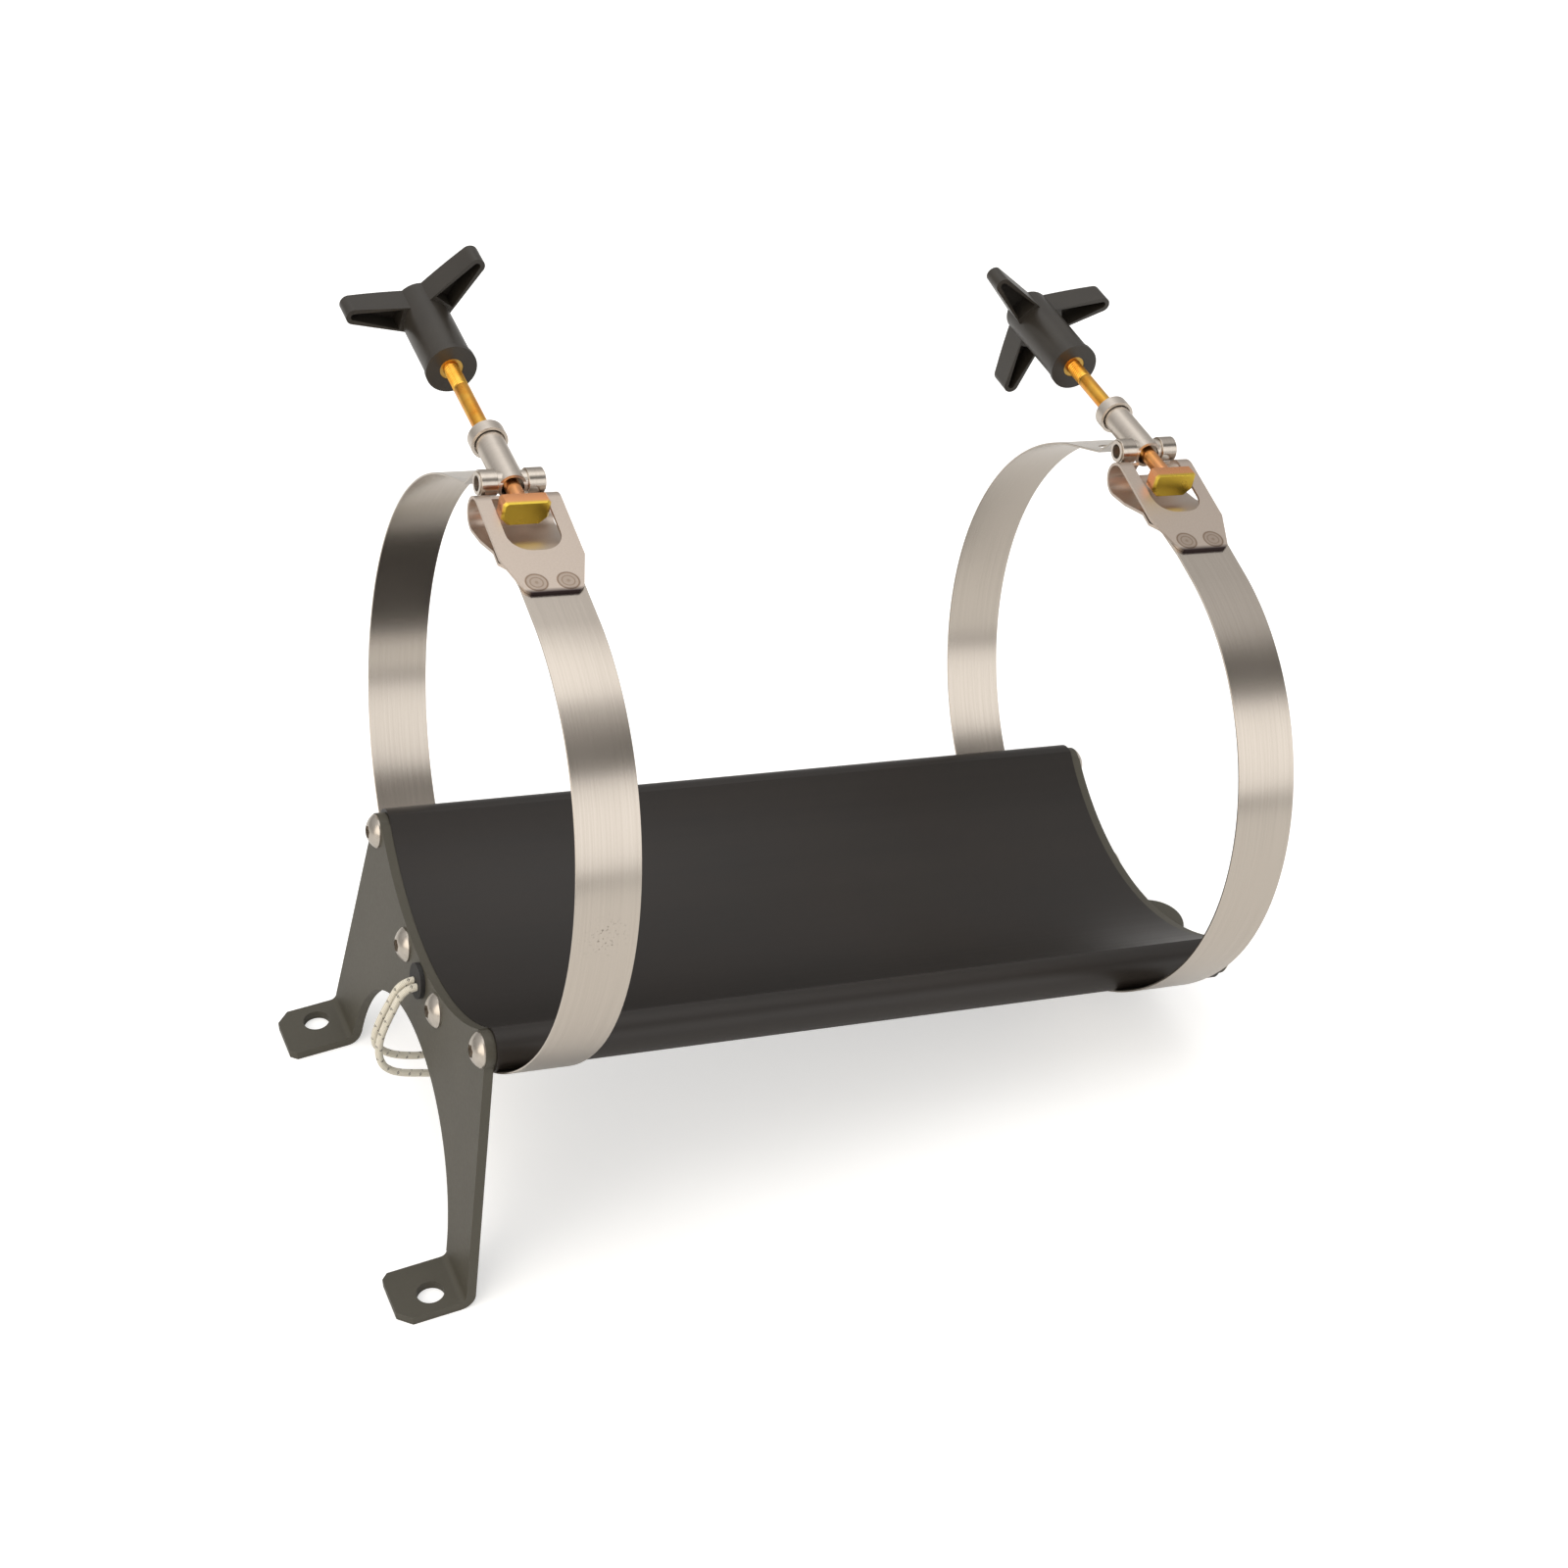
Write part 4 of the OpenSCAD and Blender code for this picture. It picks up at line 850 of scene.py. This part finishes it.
def slanted(turn_share, run_share):
    a = add(tree, "ShaderNodeMath", {0: turns.outputs[0], 1: turn_share}, operation="MULTIPLY")
    return add(tree, "ShaderNodeMath", {0: runs.outputs[0], 1: run_share, 2: a.outputs[0]},
               operation="MULTIPLY_ADD")


def wave(phase):
    full = add(tree, "ShaderNodeMath", {0: phase.outputs[0], 1: math.tau}, operation="MULTIPLY")
    return add(tree, "ShaderNodeMath", {0: full.outputs[0]}, operation="SINE")


one_way, other_way = wave(slanted(YARNS, 5)), wave(slanted(-YARNS, 5))
cross = add(tree, "ShaderNodeMath", {0: one_way.outputs[0], 1: other_way.outputs[0]},
            operation="MULTIPLY")
tracer_line = add(tree, "ShaderNodeMath", {0: slanted(1, 1).outputs[0]}, operation="FRACT")
tracer_twin = add(tree, "ShaderNodeMath", {0: tracer_line.outputs[0], 1: 0.5, 2: 0.11},
                  operation="COMPARE")
shown = add(tree, "ShaderNodeMath", {0: wave(slanted(-2, 2)).outputs[0], 1: 0.25},
            operation="GREATER_THAN")
gap = add(tree, "ShaderNodeMath", {0: wave(slanted(9, 9)).outputs[0], 1: -0.2},
          operation="GREATER_THAN")
dark = add(tree, "ShaderNodeMath", {0: tracer_twin.outputs[0], 1: shown.outputs[0]},
           operation="MULTIPLY")
dark = add(tree, "ShaderNodeMath", {0: dark.outputs[0], 1: gap.outputs[0]}, operation="MULTIPLY")
# painted shade: the yarn colour is darker where the crossing wave dips, standing in for the shade in the
# gaps between yarns
gap_painted_shade = add(tree, "ShaderNodeMapRange", {0: cross.outputs[0], 1: -1.0, 2: 1.0})
yarn = add(tree, "ShaderNodeMix", {0: gap_painted_shade.outputs[0], 6: linear("#c9c1ac"),
                                   7: linear("#ece7d9")}, data_type="RGBA")
tone = add(tree, "ShaderNodeMix", {0: dark.outputs[0], 6: yarn.outputs[2],
                                   7: linear("#2b2925")}, data_type="RGBA")
bump = add(tree, "ShaderNodeBump", {"Height": cross.outputs[0], "Strength": 0.5,
                                    "Distance": 0.12 * MM})
close_material(tree, add(tree, "ShaderNodeBsdfPrincipled", {
    "Base Color": tone.outputs[2], "Roughness": 0.72, "IOR": 1.5, "Sheen Weight": 0.15,
    "Normal": bump.outputs["Normal"]}))
give(braid, *leads)

# %% [markdown]
# ## Soft edges
# Cut sheet and turned steel never end in a perfect corner. A small bevel on
# each folded piece catches a line of light along the edge, as the real one does.

# %% Break the corners
for piece, width in [(p, 0.15) for p in (*bands.values(), *latches.values())] + \
                    [(p, 0.5) for p in bolts.values()]:
    soften = piece.modifiers.new("broken_corners", "BEVEL")
    soften.width = width * MM
    soften.segments = 2
    soften.limit_method = "ANGLE"
    soften.angle_limit = math.radians(50)
    soften.harden_normals = False

# %% [markdown]
# ## Floor and light
# The bracket stands on a white table under large soft lights. The floor adds a
# little light of its own for the camera only. It looks white there with a soft
# shadow, and the object and its reflections get no more light from it. The sky
# has one dark stripe, as a black flag would make, so that bright steel has
# something dark to reflect.

# %% White floor
floor_mesh = bpy.data.meshes.new("floor")
floor_mesh.from_pydata([(-6, -6, 0), (6, -6, 0), (6, 6, 0), (-6, 6, 0)], [], [(0, 1, 2, 3)])
floor = bpy.data.objects.new("floor", floor_mesh)
bpy.context.scene.collection.objects.link(floor)
paper, tree = new_material("white_paper")
rays = add(tree, "ShaderNodeLightPath")
lift = add(tree, "ShaderNodeMath", {0: rays.outputs["Is Camera Ray"], 1: 0.42}, operation="MULTIPLY")
close_material(tree, add(tree, "ShaderNodeBsdfPrincipled", {
    "Base Color": linear("#efefee"), "Roughness": 0.9, "Emission Color": (1, 1, 1, 1),
    "Emission Strength": lift.outputs[0]}))
floor.data.materials.append(paper)

# %% Sky of the studio
world = bpy.data.worlds.new("studio")
bpy.context.scene.world = world
world.use_nodes = True
tree = world.node_tree
tree.nodes.clear()
rays = add(tree, "ShaderNodeLightPath")
seen = add(tree, "ShaderNodeMath", {0: rays.outputs["Is Camera Ray"],
                                    1: rays.outputs["Is Transmission Ray"]}, operation="MAXIMUM")
place = add(tree, "ShaderNodeTexCoord")
parts = add(tree, "ShaderNodeSeparateXYZ", {"Vector": place.outputs["Generated"]})
height = add(tree, "ShaderNodeValToRGB", {"Fac": add(tree, "ShaderNodeMapRange", {
    0: parts.outputs["Z"], 1: -0.2, 2: 1.0}).outputs[0]})
height.color_ramp.elements[0].color = (0.30, 0.29, 0.28, 1)
height.color_ramp.elements[0].position = 0.10
height.color_ramp.elements[1].color = (0.80, 0.79, 0.78, 1)
height.color_ramp.elements[1].position = 0.97
FLAG_SLANT, FLAG_FROM, FLAG_TO = -1.28, -1.6, -0.6
leaning = add(tree, "ShaderNodeMath", {0: parts.outputs["X"], 1: FLAG_SLANT,
                                       2: parts.outputs["Y"]}, operation="MULTIPLY_ADD")
flag = add(tree, "ShaderNodeValToRGB", {"Fac": add(tree, "ShaderNodeMapRange", {
    0: leaning.outputs[0], 1: FLAG_FROM, 2: FLAG_TO}).outputs[0]})
flag.color_ramp.elements[0].position = 0.26
flag.color_ramp.elements[0].color = (1, 1, 1, 1)
flag.color_ramp.elements[1].position = 0.66
flag.color_ramp.elements[1].color = (1, 1, 1, 1)
for at, grey in ((0.35, 0.14), (0.52, 0.28)):
    flag.color_ramp.elements.new(at).color = (grey, 0.97 * grey, 0.93 * grey, 1)
flagged = add(tree, "ShaderNodeMix", {0: 1.0, 6: height.outputs["Color"], 7: flag.outputs["Color"]},
              data_type="RGBA", blend_type="MULTIPLY")
level = add(tree, "ShaderNodeMix", {0: seen.outputs[0], 6: flagged.outputs[2],
                                    7: (1, 1, 1, 1)}, data_type="RGBA")
background = add(tree, "ShaderNodeBackground", {"Color": level.outputs[2]})
add(tree, "ShaderNodeOutputWorld", {"Surface": background.outputs[0]})


# %% Soft lights
def soft_light(name, at, aim, width, height, watts, tint="#ffffff"):
    light = bpy.data.lights.new(name, "AREA")
    light.shape, light.size, light.size_y, light.energy = "RECTANGLE", width, height, watts
    light.color = linear(tint)[:3]
    lamp = bpy.data.objects.new(name, light)
    bpy.context.scene.collection.objects.link(lamp)
    lamp.location = at
    lamp.rotation_euler = (Vector(aim) - Vector(at)).to_track_quat("-Z", "Y").to_euler()
    print(name, watts, "W")


soft_light("overhead_softbox", (0.1, 0.2, 1.9), (0.18, 0.0, 0.1), 2.2, 2.0, 13)
soft_light("left_softbox", (-1.5, -0.9, 1.1), (0.15, 0.0, 0.15), 2.0, 1.8, 18, "#fff6ea")
soft_light("front_softbox", (0.9, -1.9, 0.9), (0.18, 0.0, 0.15), 2.4, 1.4, 11)

# %% Colour management
bpy.context.scene.view_settings.view_transform = "Standard"
